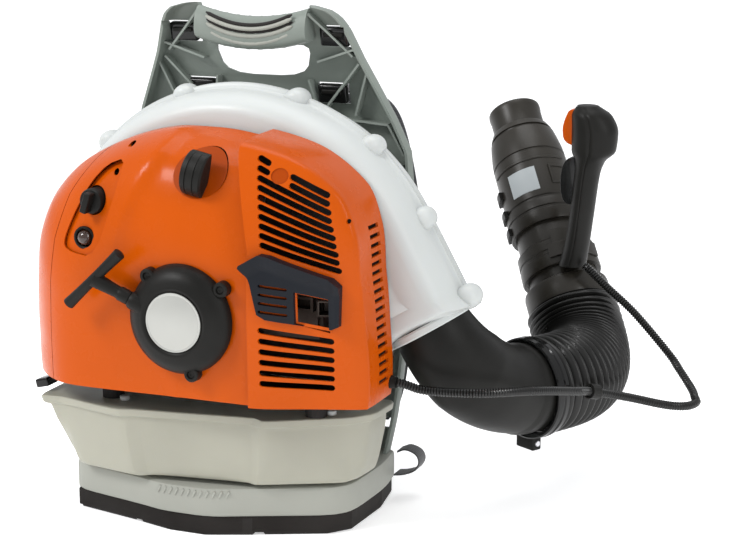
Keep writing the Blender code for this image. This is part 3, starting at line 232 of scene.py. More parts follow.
CHARCOAL = finish("guard_charcoal", (0.005, 0.0065, 0.01), 0.38, vary=0.15, grain=0.6, size=0.0008,
                  gleam=0.14)
RUBBER = finish("sole_rubber", (0.009, 0.0068, 0.0055), 0.74, vary=0.25, grain=0.6, size=0.0013, edge=0.1,
                gleam=0.2)
# Near-black used only as painted shade: the sheet behind the engine bay and the strips between the grip's
# rails.
PAINTED_SHADE = finish("painted_shade_black", (0.012, 0.01, 0.009), 0.75, vary=0.2, grain=0.4)
BADGE = finish("badge_silver", (0.385, 0.387, 0.362), 0.33, metal=0.35, vary=0.04, grain=0.2, size=0.0005)
LABEL = finish("label_paper", (0.36, 0.39, 0.4), 0.5, vary=0.05, grain=0.1)
SMOKE = finish("primer_smoke", (0.045, 0.02, 0.012), 0.1, vary=0.2, grain=0.05, coat=0.6, clear=0.25)
EXHAUST = finish("exhaust_steel", (0.055, 0.042, 0.034), 0.5, metal=0.7, vary=0.3, grain=0.6)
STEEL = finish("machined_steel", (0.55, 0.55, 0.57), 0.26, metal=1.0, vary=0.08, grain=0.3, size=0.0006)
ALLOY = finish("cast_alloy", (0.62, 0.61, 0.59), 0.48, metal=1.0, vary=0.12, grain=0.9, size=0.0016)
ROPE = woven("rope_braid", (0.52, 0.47, 0.38), 0.0012, 0.9, (0.7, 0.1, 0.7), (-0.7, 0.1, 0.7))
FOAM = finish("filter_foam", (0.1, 0.1, 0.1), 0.95, vary=0.5, grain=1.0, size=0.002)
PAD = woven("pad_mesh", (0.022, 0.022, 0.025), 0.003, 0.9)
WEBBING = woven("webbing_weave", (0.016, 0.016, 0.018), 0.0016, 0.8, (1, 0, 0), (0, 0.5, 0.86))
PIPING = woven("edge_binding", (0.035, 0.035, 0.038), 0.001, 0.7)

NODE_FINISH = {
    ORANGE: ["setting_lever"],
    RUBBER: ["left_sole", "right_sole", "front_sole", "centre_foot", "isolator_front_left",
             "isolator_front_right", "intake_manifold"],
    BLACK: ["hose_clamp", "cable_clip", "cable_gland", "throttle_trigger", "starter_pulley",
            "fuel_cap", "bottom_pan", "inlet_screen", "fan_impeller", "valve_cover"],
    STEEL: ["crankshaft_front", "crankshaft_rear", "crankpin", "wrist_pin", "connecting_rod",
            "recoil_spring", "spark_plug"],
    ALLOY: ["crankcase", "cylinder", "piston", "flywheel", "carburettor"],
    EXHAUST: ["muffler"],
    FOAM: ["air_filter"],
}
for look, names in NODE_FINISH.items():
    for node in names:
        NODES[node].data.materials.clear()
        NODES[node].data.materials.append(look)


# --- mesh helpers ---
def shaded(obj, mat, smooth=38.0):
    obj.data.materials.clear()
    obj.data.materials.append(mat)
    obj.data.shade_smooth()
    obj.data.set_sharp_from_angle(angle=math.radians(smooth))
    return obj


def placed(name, bm):
    mesh = bpy.data.meshes.new(name)
    bm.to_mesh(mesh)
    bm.free()
    obj = bpy.data.objects.new(name, mesh)
    SCENE.collection.objects.link(obj)
    return obj


def made(name, verts, faces, mat, smooth=38.0):
    bm = bmesh.new()
    points = [bm.verts.new(v) for v in verts]
    for face in faces:
        bm.faces.new([points[i] for i in face])
    bmesh.ops.remove_doubles(bm, verts=bm.verts[:], dist=WELD)
    bmesh.ops.recalc_face_normals(bm, faces=bm.faces[:])
    return shaded(placed(name, bm), mat, smooth)


def circle(sides):
    """Cosine and sine at even steps round a circle."""
    return [(math.cos(2 * math.pi * i / sides), math.sin(2 * math.pi * i / sides)) for i in range(sides)]


def lofted(name, rings, mat, smooth=38.0, loop=False):
    """Skin between closed rings, with end caps unless it is a loop."""
    count = len(rings[0])
    verts = [p for ring in rings for p in ring]
    faces = []
    rows = len(rings)
    for k in range(rows if loop else rows - 1):
        a = k * count
        b = ((k + 1) % rows) * count
        for i in range(count):
            j = (i + 1) % count
            faces.append((a + i, a + j, b + j, b + i))
    if not loop:
        faces.append(tuple(range(count)))
        faces.append(tuple(range((rows - 1) * count, rows * count)))
    return made(name, verts, faces, mat, smooth)


def tilted(degrees, axis):
    return Matrix.Rotation(math.radians(degrees), 3, axis)


def frame_at(place, axis):
    """Matrix of a place whose own Z runs along an axis."""
    return Matrix.Translation(Vector(place)) @ Z_AXIS.rotation_difference(Vector(axis)).to_matrix().to_4x4()


def turned(name, profile, place, axis, mat, steps, nodes=(), body="root", closed=False, smooth=32.0):
    """Settled body of revolution from (radius, height) pairs."""
    at = frame_at(place, axis)
    rings = []
    for r, h in profile:
        r = max(r, 0.00001)
        rings.append([at @ Vector((r * c, r * s, h)) for c, s in circle(steps)])
    settle(lofted(name, rings, mat, smooth, closed), nodes, body)


def settle(obj, nodes=(), body="root"):
    """Give a piece its body and the CAD nodes that it stands for."""
    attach(obj, body)
    if nodes:
        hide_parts(*nodes)


def bend(obj, node):
    """A piece that runs over a joint, from one body to the next, baked where it lies with its CAD node
    hidden.
    """
    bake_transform(obj)
    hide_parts(node)


def applied(obj):
    """Bake the modifiers into the mesh."""
    bpy.context.view_layer.update()
    shown = obj.evaluated_get(bpy.context.evaluated_depsgraph_get())
    mesh = bpy.data.meshes.new_from_object(shown)
    obj.modifiers.clear()
    obj.data = mesh
    return obj


def boolean(obj, fill, operation="DIFFERENCE"):
    """Cut a solid out of the object, or keep only what lies inside it."""
    tool = solid(fill)
    step = obj.modifiers.new("step", "BOOLEAN")
    step.operation = operation
    step.solver = "EXACT"
    step.use_self = True
    step.object = tool
    applied(obj)
    bpy.data.objects.remove(tool, do_unlink=True)
    return shaded(obj, obj.data.materials[0])


def solid(fill):
    """Tool body for a Boolean."""
    bm = bmesh.new()
    fill(bm)
    bmesh.ops.recalc_face_normals(bm, faces=bm.faces[:])
    return placed("tool", bm)


def add_prism(bm, outline, near, far, level=False):
    """Prism between two depths, or between two heights if level."""
    ends = [[bm.verts.new((a, b, h) if level else (a, h, b)) for a, b in outline] for h in (near, far)]
    for end in ends:
        bm.faces.new(end)
    low, high = ends
    for i in range(len(outline)):
        j = (i + 1) % len(outline)
        bm.faces.new((low[i], low[j], high[j], high[i]))


def add_box(bm, centre, size, turn=None):
    cube = bmesh.ops.create_cube(bm, size=1.0)["verts"]
    bmesh.ops.scale(bm, vec=size, verts=cube)
    if turn is not None:
        bmesh.ops.rotate(bm, cent=(0, 0, 0), matrix=turn, verts=cube)
    bmesh.ops.translate(bm, vec=centre, verts=cube)


def add_rod(bm, start, end, radius, sides=32):
    start = Vector(start)
    end = Vector(end)
    bmesh.ops.create_cone(bm, cap_ends=True, segments=sides, radius1=radius, radius2=radius,
                          depth=(end - start).length, matrix=frame_at((start + end) / 2, end - start))


def bevelled(name, fill, mat, width=0.0012, segments=3):
    """A small solid with rounded edges."""
    bm = bmesh.new()
    fill(bm)
    bmesh.ops.recalc_face_normals(bm, faces=bm.faces[:])
    sharp = [e for e in bm.edges if e.is_manifold and e.calc_face_angle(0) > 0.5]
    bmesh.ops.bevel(bm, geom=sharp, offset=width, segments=segments, affect="EDGES",
                    clamp_overlap=True, profile=0.6)
    return shaded(placed(name, bm), mat, 40)


def block(name, centre, size, turn, mat, width=0.0012):
    return bevelled(name, lambda bm: add_box(bm, centre, size, turn), mat, width)


def slab(name, outline, near, far, mat, width=0.0012, segments=3, level=False):
    return bevelled(name, lambda bm: add_prism(bm, outline, near, far, level), mat, width, segments)


def rounded(outline, times, share=0.22):
    """Cut the corners of a closed outline."""
    for _ in range(times):
        fresh = []
        for a, b in zip(outline, outline[1:] + outline[:1]):
            a = Vector(a)
            b = Vector(b)
            fresh.append(tuple(a.lerp(b, share)))
            fresh.append(tuple(a.lerp(b, 1 - share)))
        outline = fresh
    return outline


def keyed(keys, x):
    return float(np.interp(x, [k[0] for k in keys], [k[1] for k in keys]))


def eased(keys, x):
    """Smooth curve through sorted (x, value) keys that doesn't overshoot."""
    if x <= keys[0][0]:
        return keys[0][1]
    if x >= keys[-1][0]:
        return keys[-1][1]
    slopes = [(b[1] - a[1]) / (b[0] - a[0]) for a, b in zip(keys, keys[1:])]
    for k, (a, b) in enumerate(zip(keys, keys[1:])):
        if x <= b[0]:
            break
    lean = []
    for j in (k, k + 1):
        before = slopes[max(j - 1, 0)]
        after = slopes[min(j, len(slopes) - 1)]
        lean.append(0.0 if before * after <= 0 else 2 * before * after / (before + after))
    span = b[0] - a[0]
    t = (x - a[0]) / span
    return (a[1] * (2 * t ** 3 - 3 * t * t + 1) + lean[0] * span * (t ** 3 - 2 * t * t + t)
            + b[1] * (3 * t * t - 2 * t ** 3) + lean[1] * span * (t ** 3 - t * t))


def catmull(a, b, c, d, t):
    """Point between b and c on the smooth curve through all four."""
    return 0.5 * ((b * 2) + (c - a) * t + (a * 2 - b * 5 + c * 4 - d) * t * t
                  + (b * 3 - a - c * 3 + d) * t ** 3)


def smooth_route(knots, spacing):
    """Catmull-Rom curve through knots, read off at even steps."""
    knots = [Vector(k) for k in knots]
    ends = [knots[0] * 2 - knots[1]] + knots + [knots[-1] * 2 - knots[-2]]
    fine = []
    for a, b, c, d in zip(ends, ends[1:], ends[2:], ends[3:]):
        fine += [catmull(a, b, c, d, i / 12) for i in range(12)]
    fine.append(knots[-1])
    steps = [(q - p).length for p, q in zip(fine, fine[1:])]
    total = sum(steps)
    count = max(2, round(total / spacing))
    places = np.concatenate(([0.0], np.cumsum(steps)))
    wanted = np.linspace(0, total, count + 1)
    table = np.array([list(p) for p in fine])
    return [Vector([float(np.interp(w, places, table[:, k])) for k in range(3)]) for w in wanted]


def bezier(start, lead, trail, end, count):
    return [start * (1 - t) ** 3 + lead * 3 * t * (1 - t) ** 2 + trail * 3 * t * t * (1 - t)
            + end * t ** 3 for t in (i / (count - 1) for i in range(count))]


def frames_along(route, first, last):
    """Axes of a route, and a side direction that turns as little as it can."""
    axes = []
    for i in range(len(route)):
        axes.append((route[min(i + 1, len(route) - 1)] - route[max(i - 1, 0)]).normalized())
    if first is not None:
        axes[0] = first
    if last is not None:
        axes[-1] = last
    side = Z_AXIS.cross(axes[0])
    side = (side if side.length > 0.05 else X_AXIS).normalized()
    sides = []
    for axis in axes:
        side = (side - axis * side.dot(axis)).normalized()
        sides.append(side)
    return axes, sides


def sweep(name, route, radii, mat, sides, inner=None, first=None, last=None, smooth=38.0):
    """Round tube along a route; with inner radii it is an open pipe with a wall."""
    axes, across = frames_along(route, first, last)

    def ring(k, r):
        top = axes[k].cross(across[k])
        return [route[k] + across[k] * r * c + top * r * s for c, s in circle(sides)]
    rings = [ring(k, r) for k, r in enumerate(radii)]
    if inner is not None:
        rings += [ring(k, inner[k]) for k in reversed(range(len(route)))]
    return lofted(name, rings, mat, smooth, inner is not None)


# --- throttle cable ---
CABLE_LOWER = [(0.1968, -0.0520, 0.1610), (0.2070, -0.0518, 0.1592), (0.2260, -0.0500, 0.1555),
               (0.2756, -0.0380, 0.1550), (0.3165, 0.0020, 0.1510), (0.3425, 0.0620, 0.1375),
               (0.3520, 0.0960, 0.1290), (0.3790, 0.1300, 0.1170), (0.4130, 0.1600, 0.1040),
               (0.4310, 0.1760, 0.1004), (0.4377, 0.1936, 0.1003), (0.4350, 0.1992, 0.1034)]
CABLE_UPPER = [(0.4342, 0.2008, 0.1044), (0.4315, 0.2064, 0.1075), (0.4245, 0.2140, 0.1140),
               (0.4125, 0.2220, 0.1262), (0.3985, 0.2300, 0.1405), (0.3600, 0.2330, 0.1800),
               (0.3280, 0.2350, 0.2060), (0.3070, 0.2375, 0.2230), (0.3015, 0.2365, 0.2275)]
CABLE_RADIUS = 0.0045
CABLE_RIB = 0.0009
CABLE_STEP = 0.00095


def conduit(name, route, node):
    radii = [CABLE_RADIUS - CABLE_RIB * (k % 3 == 0) for k in range(len(route))]
    tube = sweep(name, route, radii, CABLE, sides=14, smooth=32)
    bend(tube, node)


def cables():
    """One smooth run from the gland to the handle, in the two lengths that the joints need."""
    meeting = (Vector(CABLE_LOWER[-1]) + Vector(CABLE_UPPER[0])) / 2
    route = smooth_route(CABLE_LOWER[:-1] + [meeting] + CABLE_UPPER[1:], CABLE_STEP)
    cut = min(range(len(route)), key=lambda k: (route[k] - meeting).length)
    conduit("throttle_conduit_lower", route[:cut + 1], "throttle_cable_lower")
    conduit("throttle_conduit_upper", route[cut:], "throttle_cable_upper")


# --- fan housing ---
CRANK_X = 0.01
CRANK_Z = 0.228
OUTLET = Vector((0.211, 0.0, 0.209))
OUTLET_AXIS = Vector((0.518, 0.0, -0.855)).normalized()
RING = Vector((0.284, 0.115, 0.122))
RING_AXIS = Vector((0.5, 0.866, 0.0)).normalized()
TUBE_BASE = Vector((0.279, 0.27, 0.17))
TUBE_TIP = Vector((0.168, 0.4, 0.367))
TUBE_AXIS = (TUBE_TIP - TUBE_BASE).normalized()
TUBE_LENGTH = (TUBE_TIP - TUBE_BASE).length
TUBE_RADIUS = 0.039
TUBE_FACE = Vector((0.0975, -0.8045, 0.5859))
TUBE_SIDE = TUBE_AXIS.cross(TUBE_FACE)
SCROLL_START = 17
SCROLL_TURN = 341.5
VOLUTE_STEPS = 149
OUTLET_BORE = 0.0406
CLIP_WIDER = 1.3
CLIP_LONGER = 1.15
SCROLL = [(SCROLL_START, 0.164), (45, 0.152), (90, 0.154), (135, 0.166), (180, 0.19), (223, 0.2075),
          (252, 0.206), (287, 0.206), (312, 0.209), (336, 0.213), (357, 0.236), (358.5, 0.248)]
BOSSES = [(-223.4, 0.208), (-252, 0.205), (-287, 0.205), (-312.3, 0.208), (-336, 0.212),
          (-357, 0.242), (-180, 0.192), (-135, 0.168), (-60, 0.155)]


def off_crank(angle, reach, y):
    """Place at an angle and a distance from the crankshaft's axis."""
    turn = math.radians(angle)
    return Vector((CRANK_X + reach * math.cos(turn), y, CRANK_Z + reach * math.sin(turn)))


def volute(name, side, hub, node):
    rings = []
    for k in range(VOLUTE_STEPS + 1):
        angle = SCROLL_START + SCROLL_TURN * k / VOLUTE_STEPS
        r = eased(SCROLL, angle)
        outer = [(r + 0.0048, 0.0004), (r + 0.005, 0.0016), (r + 0.0046, 0.0032),
                 (r + 0.001, 0.0042), (r, 0.006), (r * 0.999, 0.014), (r * 0.993, 0.022),
                 (r * 0.982, 0.03), (r * 0.966, 0.0365), (r * 0.945, 0.042), (r * 0.92, 0.0452),
                 (r * 0.895, 0.046), (r * 0.8, 0.046), (r * 0.785, 0.0452), (r * 0.775, 0.046),
                 (hub + 0.004, 0.046), (hub, 0.0445)]
        inner = [(hub, 0.043), (r * 0.895, 0.043), (r * 0.945, 0.0385), (r * 0.975, 0.03),
                 (r * 0.995 - 0.003, 0.019), (r - 0.003, 0.0004)]
        rings.append([off_crank(-angle, rad, side * y) for rad, y in outer + inner])
    half = lofted(name, rings, WHITE, loop=True)
    boolean(half, lambda bm: add_rod(bm, OUTLET - OUTLET_AXIS * 0.035, OUTLET + OUTLET_AXIS * 0.03,
                                     OUTLET_BORE, 48))
    shaded(half, WHITE, 50)
    settle(half, [node])


def housing():
    volute("volute_front", -1, 0.044, "fan_housing_front")
    volute("volute_rear", 1, 0.07, "fan_housing_rear")
    for k, (angle, r) in enumerate(BOSSES):
        profile = mm((0, -12.5), (4.5, -12.2), (7, -10.8), (8.6, -8), (9.4, -4), (9.6, 0), (9.4, 4),
                     (8.6, 8), (7, 10.8), (4.5, 12.2), (0, 12.5))
        profile = [(reach * CLIP_WIDER, rise * CLIP_LONGER) for reach, rise in profile]
        turned(f"housing_clip_{k}", profile, off_crank(angle, r - 0.0005, 0.0), Y_AXIS, WHITE, 28,
               smooth=60)
    profile = mm((44.8, -2), (46.2, 0), (46.2, 4.5), (44.8, 6), (41.2, 6), (41.2, -2))
    turned("outlet_collar", profile, OUTLET - OUTLET_AXIS * 0.001, OUTLET_AXIS, WHITE, 64, closed=True)


# --- outlet, hose and tube ---
def elbow():
    start = OUTLET + OUTLET_AXIS * (-0.004)
    count = 56
    route = bezier(start, start + OUTLET_AXIS * 0.062, RING - RING_AXIS * 0.058, RING, count)
    flare = [0.039 + 0.007 * min(1.0, i / 22) for i in range(count)]
    outer = [r + 0.0014 if 46 <= i <= 49 else r for i, r in enumerate(flare)]
    settle(sweep("elbow_pipe", route, outer, BLACK, 72, [r - 0.003 for r in outer], OUTLET_AXIS,
                 RING_AXIS, 50), ["outlet_elbow"])
    back = RING - RING_AXIS * 0.006
    ring = mm((50.5, 7.2), (51.5, 7.8), (53, 6.8), (53.4, 2), (52.2, 1), (52.2, -1), (53.4, -2),
              (53, -6.8), (51.5, -7.8), (48.2, -7), (48.2, 7))
    turned("clamp_band", ring, back, RING_AXIS, GLOSS, 80, ["hose_clamp"], closed=True)
    turn = Matrix.Rotation(math.atan2(RING_AXIS.y, RING_AXIS.x) - math.pi / 2, 3, "Z")
    foot = back + Vector((0, 0, -0.0575))
    settle(block("clamp_lug", foot, (0.026, 0.012, 0.015), turn, BLACK, 0.002))
    pin = mm((0, -14.5), (2.8, -14.5), (3.2, -13.5), (3.2, 13.5), (2.8, 14.5), (0, 14.5))
    turned("clamp_pin", pin, foot, turn @ X_AXIS, STEEL, 24)


def hose():
    """Pleated hose in two lengths, one running over each of the two joints."""
    start = RING + RING_AXIS * 0.0015
    end = TUBE_BASE - TUBE_AXIS * 0.0005
    pleats = 22
    steps = 10
    count = pleats * steps + 1
    route = bezier(start, start + RING_AXIS * 0.08, end - TUBE_AXIS * 0.08, end, count)
    radii = [0.045 + 0.0064 * abs(math.sin(math.pi * k / steps)) ** 1.2 for k in range(count)]
    radii[0] = radii[-1] = 0.0475
    middle = count // 2
    parts = (("hose_pleats_lower", 0, middle + 1, "hose_lower", ("root", "hose_swivel")),
             ("hose_pleats_upper", middle, count, "hose_upper", ("hose_swivel", "tube")))
    for name, low, high, node, bodies in parts:
        piece = route[low:high]
        tube = sweep(name, piece, radii[low:high], HOSE, 56, [r - 0.002 for r in radii[low:high]],
                     RING_AXIS if low == 0 else None, TUBE_AXIS if high == count else None, 60)
        bend(tube, node)


def on_tube(s):
    return TUBE_BASE + TUBE_AXIS * s


def wrapped(name, s_low, s_high, a_low, a_high, radius, thick, mat):
    """Low pad bent round the tube, between two stations and two angles."""
    edge = min(0.0006, thick * 0.4)
    rings = []
    for k in range(17):
        turn = math.radians(a_low + (a_high - a_low) * k / 16)
        out = TUBE_FACE * math.cos(turn) + TUBE_SIDE * math.sin(turn)
        rings.append([on_tube(s) + out * r for s, r in (
            (s_low, radius - thick), (s_low, radius - edge), (s_low + edge, radius),
            (s_high - edge, radius), (s_high, radius - edge), (s_high, radius - thick))])
    return lofted(name, rings, mat, 40)


def tube():
    body = [(0.03, TUBE_LENGTH), (0.0303, TUBE_LENGTH - 0.002), (0.0303, TUBE_LENGTH - 0.006),
            (0.0297, TUBE_LENGTH - 0.008), (0.0297, 0.226), (0.031, 0.218), (0.0345, 0.205),
            (TUBE_RADIUS, 0.19), (TUBE_RADIUS, 0.0255), (0.044, 0.0245), (0.0468, 0.023),
            (0.0475, 0.02), (0.0475, 0.002), (0.0468, 0.0), (0.036, 0.0), (0.036, 0.188),
            (0.0315, 0.204), (0.0275, 0.22), (0.0275, TUBE_LENGTH)]
    turned("tube_shell", body, TUBE_BASE, TUBE_AXIS, TUBE, 96, ["blower_tube"], "tube", True)
    fit = TUBE_RADIUS + 0.0003
    sleeve = [(0.0312, 0.232), (0.0325, 0.2318), (0.0345, 0.228), (0.0362, 0.224), (0.0345, 0.2232),
              (0.0345, 0.2215), (0.0375, 0.22), (0.0392, 0.212), (0.0405, 0.204), (0.0417, 0.196),
              (0.0421, 0.188), (0.0408, 0.1872), (0.0408, 0.185), (0.0422, 0.1842), (0.0426, 0.13),
              (0.0424, 0.1262), (0.0412, 0.125), (0.0412, 0.1225), (0.0438, 0.1215), (0.0442, 0.119),
              (0.0442, 0.112), (0.043, 0.1112), (0.043, 0.1088), (0.0442, 0.108), (0.0442, 0.096),
              (0.0434, 0.094), (fit, 0.094), (fit, 0.1905), (0.0348, 0.2055), (0.0305, 0.2225),
              (0.0305, 0.232)]
    turned("sleeve_shell", sleeve, TUBE_BASE, TUBE_AXIS, TUBE, 96, ["tube_sleeve"], "tube", True)
    settle(wrapped("sleeve_label", 0.133, 0.163, -40, 6, 0.043, 0.0008, LABEL), body="tube")
    pads = [(0.145, 0.155, -92, -66, 0.0468), (0.1205, 0.13, -92, -66, 0.0472),
            (0.0975, 0.107, -92, -66, 0.0476), (0.138, 0.1405, 30, 66, 0.044),
            (0.16, 0.1625, 30, 66, 0.044), (0.138, 0.1625, 27, 30, 0.044),
            (0.172, 0.1745, -70, 60, 0.0436), (0.06, 0.078, 0, 60, 0.047), (0.045, 0.062, -8, 70, 0.0478)]
    for k, (low, high, left, right, r) in enumerate(pads):
        look = BLACK if k < 3 else TUBE
        settle(wrapped(f"tube_pad_{k}", low, high, left, right, r, 0.006, look), body="tube")
    collar = [(0.0425, 0.0185), (0.0438, 0.017), (0.0442, 0.006), (0.0432, 0.005), (0.0432, 0.001),
              (0.0446, 0.0), (0.045, -0.012), (0.044, -0.014), (fit, -0.014), (fit, 0.0185)]
    turned("collar_shell", collar, on_tube(0.052), TUBE_AXIS, TUBE, 96, ["handle_collar"], "tube", True)


# --- control handle ---
HANDLE_FOOT = 0.224
HANDLE_TOP = 0.399
HANDLE_GROOVE = 0.045
HANDLE = mm((284, 252, 224, 15, 17), (289, 249, 245, 13.5, 16), (294, 248, 280, 13, 16.5),
            (299, 248, 325, 13.5, 17.5), (302, 247, 340, 16, 19), (306, 246, 352, 24, 21.5),
            (307, 246, 372, 25, 22.5), (303, 246, 390, 21.5, 20.5), (298, 246, 399, 13, 13))


def handle():
    rings = []
    sides = 64
    heights = [HANDLE_FOOT + (HANDLE_TOP - HANDLE_FOOT) * k / 56 for k in range(57)]
    keys = [[(row[2], row[k]) for row in HANDLE] for k in (0, 1, 3, 4)]
    for z in heights:
        x, y, half_x, half_y = (eased(key, z) for key in keys)
        ring = []
        for i, (c, s) in enumerate(circle(sides)):
            groove = 1 - HANDLE_GROOVE * (i in (sides * 3 // 4, sides // 4))
            ring.append(Vector((x + half_x * c * groove, y + half_y * s * groove, z)))
        rings.append(ring)
    for k in range(1, 5):
        shrink = math.cos(math.pi / 2 * k / 5)
        z = HANDLE_TOP + 0.0022 * math.sin(math.pi / 2 * k / 5)
        rings.append([Vector((x + half_x * shrink * c, y + half_y * shrink * s, z))
                      for c, s in circle(sides)])
    grip = lofted("handle_shell", rings, BLACK, 50)

    def slots(bm):
        add_box(bm, (0.2755, 0.246, 0.3735), (0.037, 0.015, 0.053))
        add_box(bm, (0.284, 0.247, 0.318), (0.036, 0.0118, 0.057))
        add_rod(bm, on_tube(0.0), on_tube(0.12), 0.0446, 64)
    boolean(grip, slots)
    settle(grip, ["control_handle"], "tube")
    lever = mm((286.5, 395.5), (279.5, 395.5), (274.5, 384), (272.5, 375), (273.5, 364), (278, 359),
               (284, 357), (286.5, 357))
    settle(slab("lever_blade", rounded(lever, 1), 0.239, 0.253, ORANGE), ["setting_lever"], "hold_lever")
    trigger = mm((287.5, 344.5), (280, 343.5), (274.5, 338), (271.5, 328), (270.5, 318), (271.2, 306),
                 (274, 296), (279, 292), (287, 293))
    settle(slab("trigger_blade", rounded(trigger, 1), 0.242, 0.252, GLOSS, 0.001), ["throttle_trigger"],
           "trigger")


# --- engine covers ---
COVER_FLOOR = 0.148
SHROUD = 0.008
COVER_WALL = 0.0025
COVER_BACK = -0.0485
SHOULDER_OUT = (0.0, 0.0, 0.0, 0.04, 0.055, 0.012, 0.0)
SHOULDER_FORWARD = (0.0, 0.0, 0.0, 0.001, 0.006, 0.016, 0.0)
COVER_OUTLINE = [(0, 0.18), (18, 0.19), (33, 0.211), (44, 0.24), (52, 0.256), (62, 0.259),
                 (72, 0.255), (80, 0.252), (90, 0.252), (99, 0.254), (108, 0.254),
                 (120, 0.254), (131, 0.2495), (141, 0.237), (150, 0.22), (160, 0.206),
                 (170, 0.197), (180, 0.193)]
DEPTH_RIGHT = [(0.0, -0.137), (0.3, -0.137), (0.48, -0.135), (0.7, -0.116), (0.91, -0.096),
               (0.985, -0.074), (1.0, COVER_BACK)]
DEPTH_TOP = [(0.0, -0.138), (0.3, -0.141), (0.58, -0.142), (0.78, -0.134), (0.91, -0.116),
             (0.98, -0.082), (1.0, COVER_BACK)]
DEPTH_LEFT = [(0.0, -0.137), (0.3, -0.138), (0.6, -0.137), (0.76, -0.124), (0.9, -0.098),
              (0.98, -0.07), (1.0, COVER_BACK)]
SEAM_LEFT = mm((-144.5, 140), (-144.5, 190), (-142.5, 249), (-138, 292), (-126, 335), (-106, 372),
               (-82, 400), (-72, 430))
SEAM_RIGHT = mm((80, 140), (81, 300), (71, 360), (60, 430))
KNOB = Vector((0.022, -0.134, 0.366))
CHOKE = Vector((-0.0915, -0.132, 0.333))
PRIMER = Vector((-0.099, -0.134, 0.297))
CREASE = mm((16, 445), (0.4, 417.7), (-18, 392), (-33, 363.6), (-50, 326), (-62.6, 288.6), (-66, 230))


def cover_polar(x, z):
    """Angle and distance of a place from the middle of the covers' foot."""
    return math.degrees(math.atan2(z - COVER_FLOOR, x)), math.hypot(x, z - COVER_FLOOR)


def cover_place(angle, reach):
    turn = math.radians(angle)
    return reach * math.cos(turn), COVER_FLOOR + reach * math.sin(turn)


def cover_section(angle, proud):
    """(reach, depth) points of the covers' skin at an angle, closely spaced."""
    lean = abs(math.cos(math.radians(angle))) ** 1.5
    side = DEPTH_RIGHT if angle < 90 else DEPTH_LEFT
    reach = eased(COVER_OUTLINE, angle)
    points = []
    for k in range(7):
        share = side[k][0] * lean + DEPTH_TOP[k][0] * (1 - lean)
        depth = side[k][1] * lean + DEPTH_TOP[k][1] * (1 - lean)
        if proud > 0:
            share += SHOULDER_OUT[k]
            depth -= SHOULDER_FORWARD[k]
        points.append(Vector((reach * share + (proud if share > 0.2 else 0.0),
                              depth - (proud if k < 6 else 0.0))))
    ends = [Vector((-points[1].x, points[1].y))] + points + [points[-1] * 2 - points[-2]]
    fine = []
    for k in range(6):
        fine += [catmull(*ends[k:k + 4], i / 8) for i in range(8)]
    fine.append(points[-1])
    return fine


def crease_at(x, z):
    """How far the cover stands out beside its crease: a wing on the left, a valley on the right."""
    here = Vector((x, z))
    nearest = 1.0
    right = 1.0
    for a, b in zip(CREASE, CREASE[1:]):
        a = Vector(a)
        b = Vector(b)
        t = max(0.0, min(1.0, (here - a).dot(b - a) / (b - a).length_squared))
        gap = (here - a.lerp(b, t)).length
        if gap < nearest:
            nearest = gap
            right = (b - a).cross(here - a)
    high = max(0.0, min(1.0, (z - 0.235) / 0.1))
    if right < 0:
        return 0.0038 * high * math.exp(-nearest / 0.045)
    return high * (0.0038 * math.exp(-nearest / 0.0035) - 0.0022 * (1 - math.exp(-nearest / 0.01)))


def cover_depth(x, z, proud=0.0):
    angle, reach = cover_polar(x, z)
    section = cover_section(max(0.0, min(180.0, angle)), proud)
    return float(np.interp(reach, [p.x for p in section], [p.y for p in section]))


def cover_skin(name, proud):
    verts = []
    faces = []
    count = 121
    for i in range(count):
        angle = 180.0 * i / (count - 1)
        for p in cover_section(angle, proud)[1:]:
            x, z = cover_place(angle, p.x)
            verts.append((x, p.y, z))
    width = 48
    for i in range(count - 1):
        for k in range(width - 1):
            a = i * width + k
            faces.append((a, a + width, a + width + 1, a + 1))
    hub = len(verts)
    verts.append((0.0, cover_section(90, proud)[0].y, COVER_FLOOR))
    for i in range(count - 1):
        faces.append((hub, (i + 1) * width, i * width))
    shell = made(name, verts, faces, ORANGE)
    if not proud:
        shell.data.update()
        outward = [v.normal.copy() for v in shell.data.vertices]
        flip = -1 if outward[len(outward) // 2].y > 0 else 1
        for v, normal in zip(shell.data.vertices, outward):
            v.co += normal * flip * crease_at(v.co.x, v.co.z) * min(1.0, (COVER_BACK - v.co.y) / 0.02)
    wall = shell.modifiers.new("wall", "SOLIDIFY")
    wall.thickness = COVER_WALL
    wall.offset = -1.0
    return applied(shell)


def ellipse(x, z, half_x, half_z, sides=40, turn=0.0):
    spin = math.radians(turn)
    points = []
    for c, s in circle(sides):
        u = half_x * c
        v = half_z * s
        points.append((x + u * math.cos(spin) - v * math.sin(spin),
                       z + u * math.sin(spin) + v * math.cos(spin)))
    return points


def stadium(xl, zl, xr, zr, half):
    """Slot outline with round ends."""
    angle = math.atan2(zr - zl, xr - xl)
    points = []
    for cx, cz, base in ((xr, zr, angle - math.pi / 2), (xl, zl, angle + math.pi / 2)):
        for i in range(5):
            a = base + math.pi * i / 4
            points.append((cx + half * math.cos(a), cz + half * math.sin(a)))
    return points


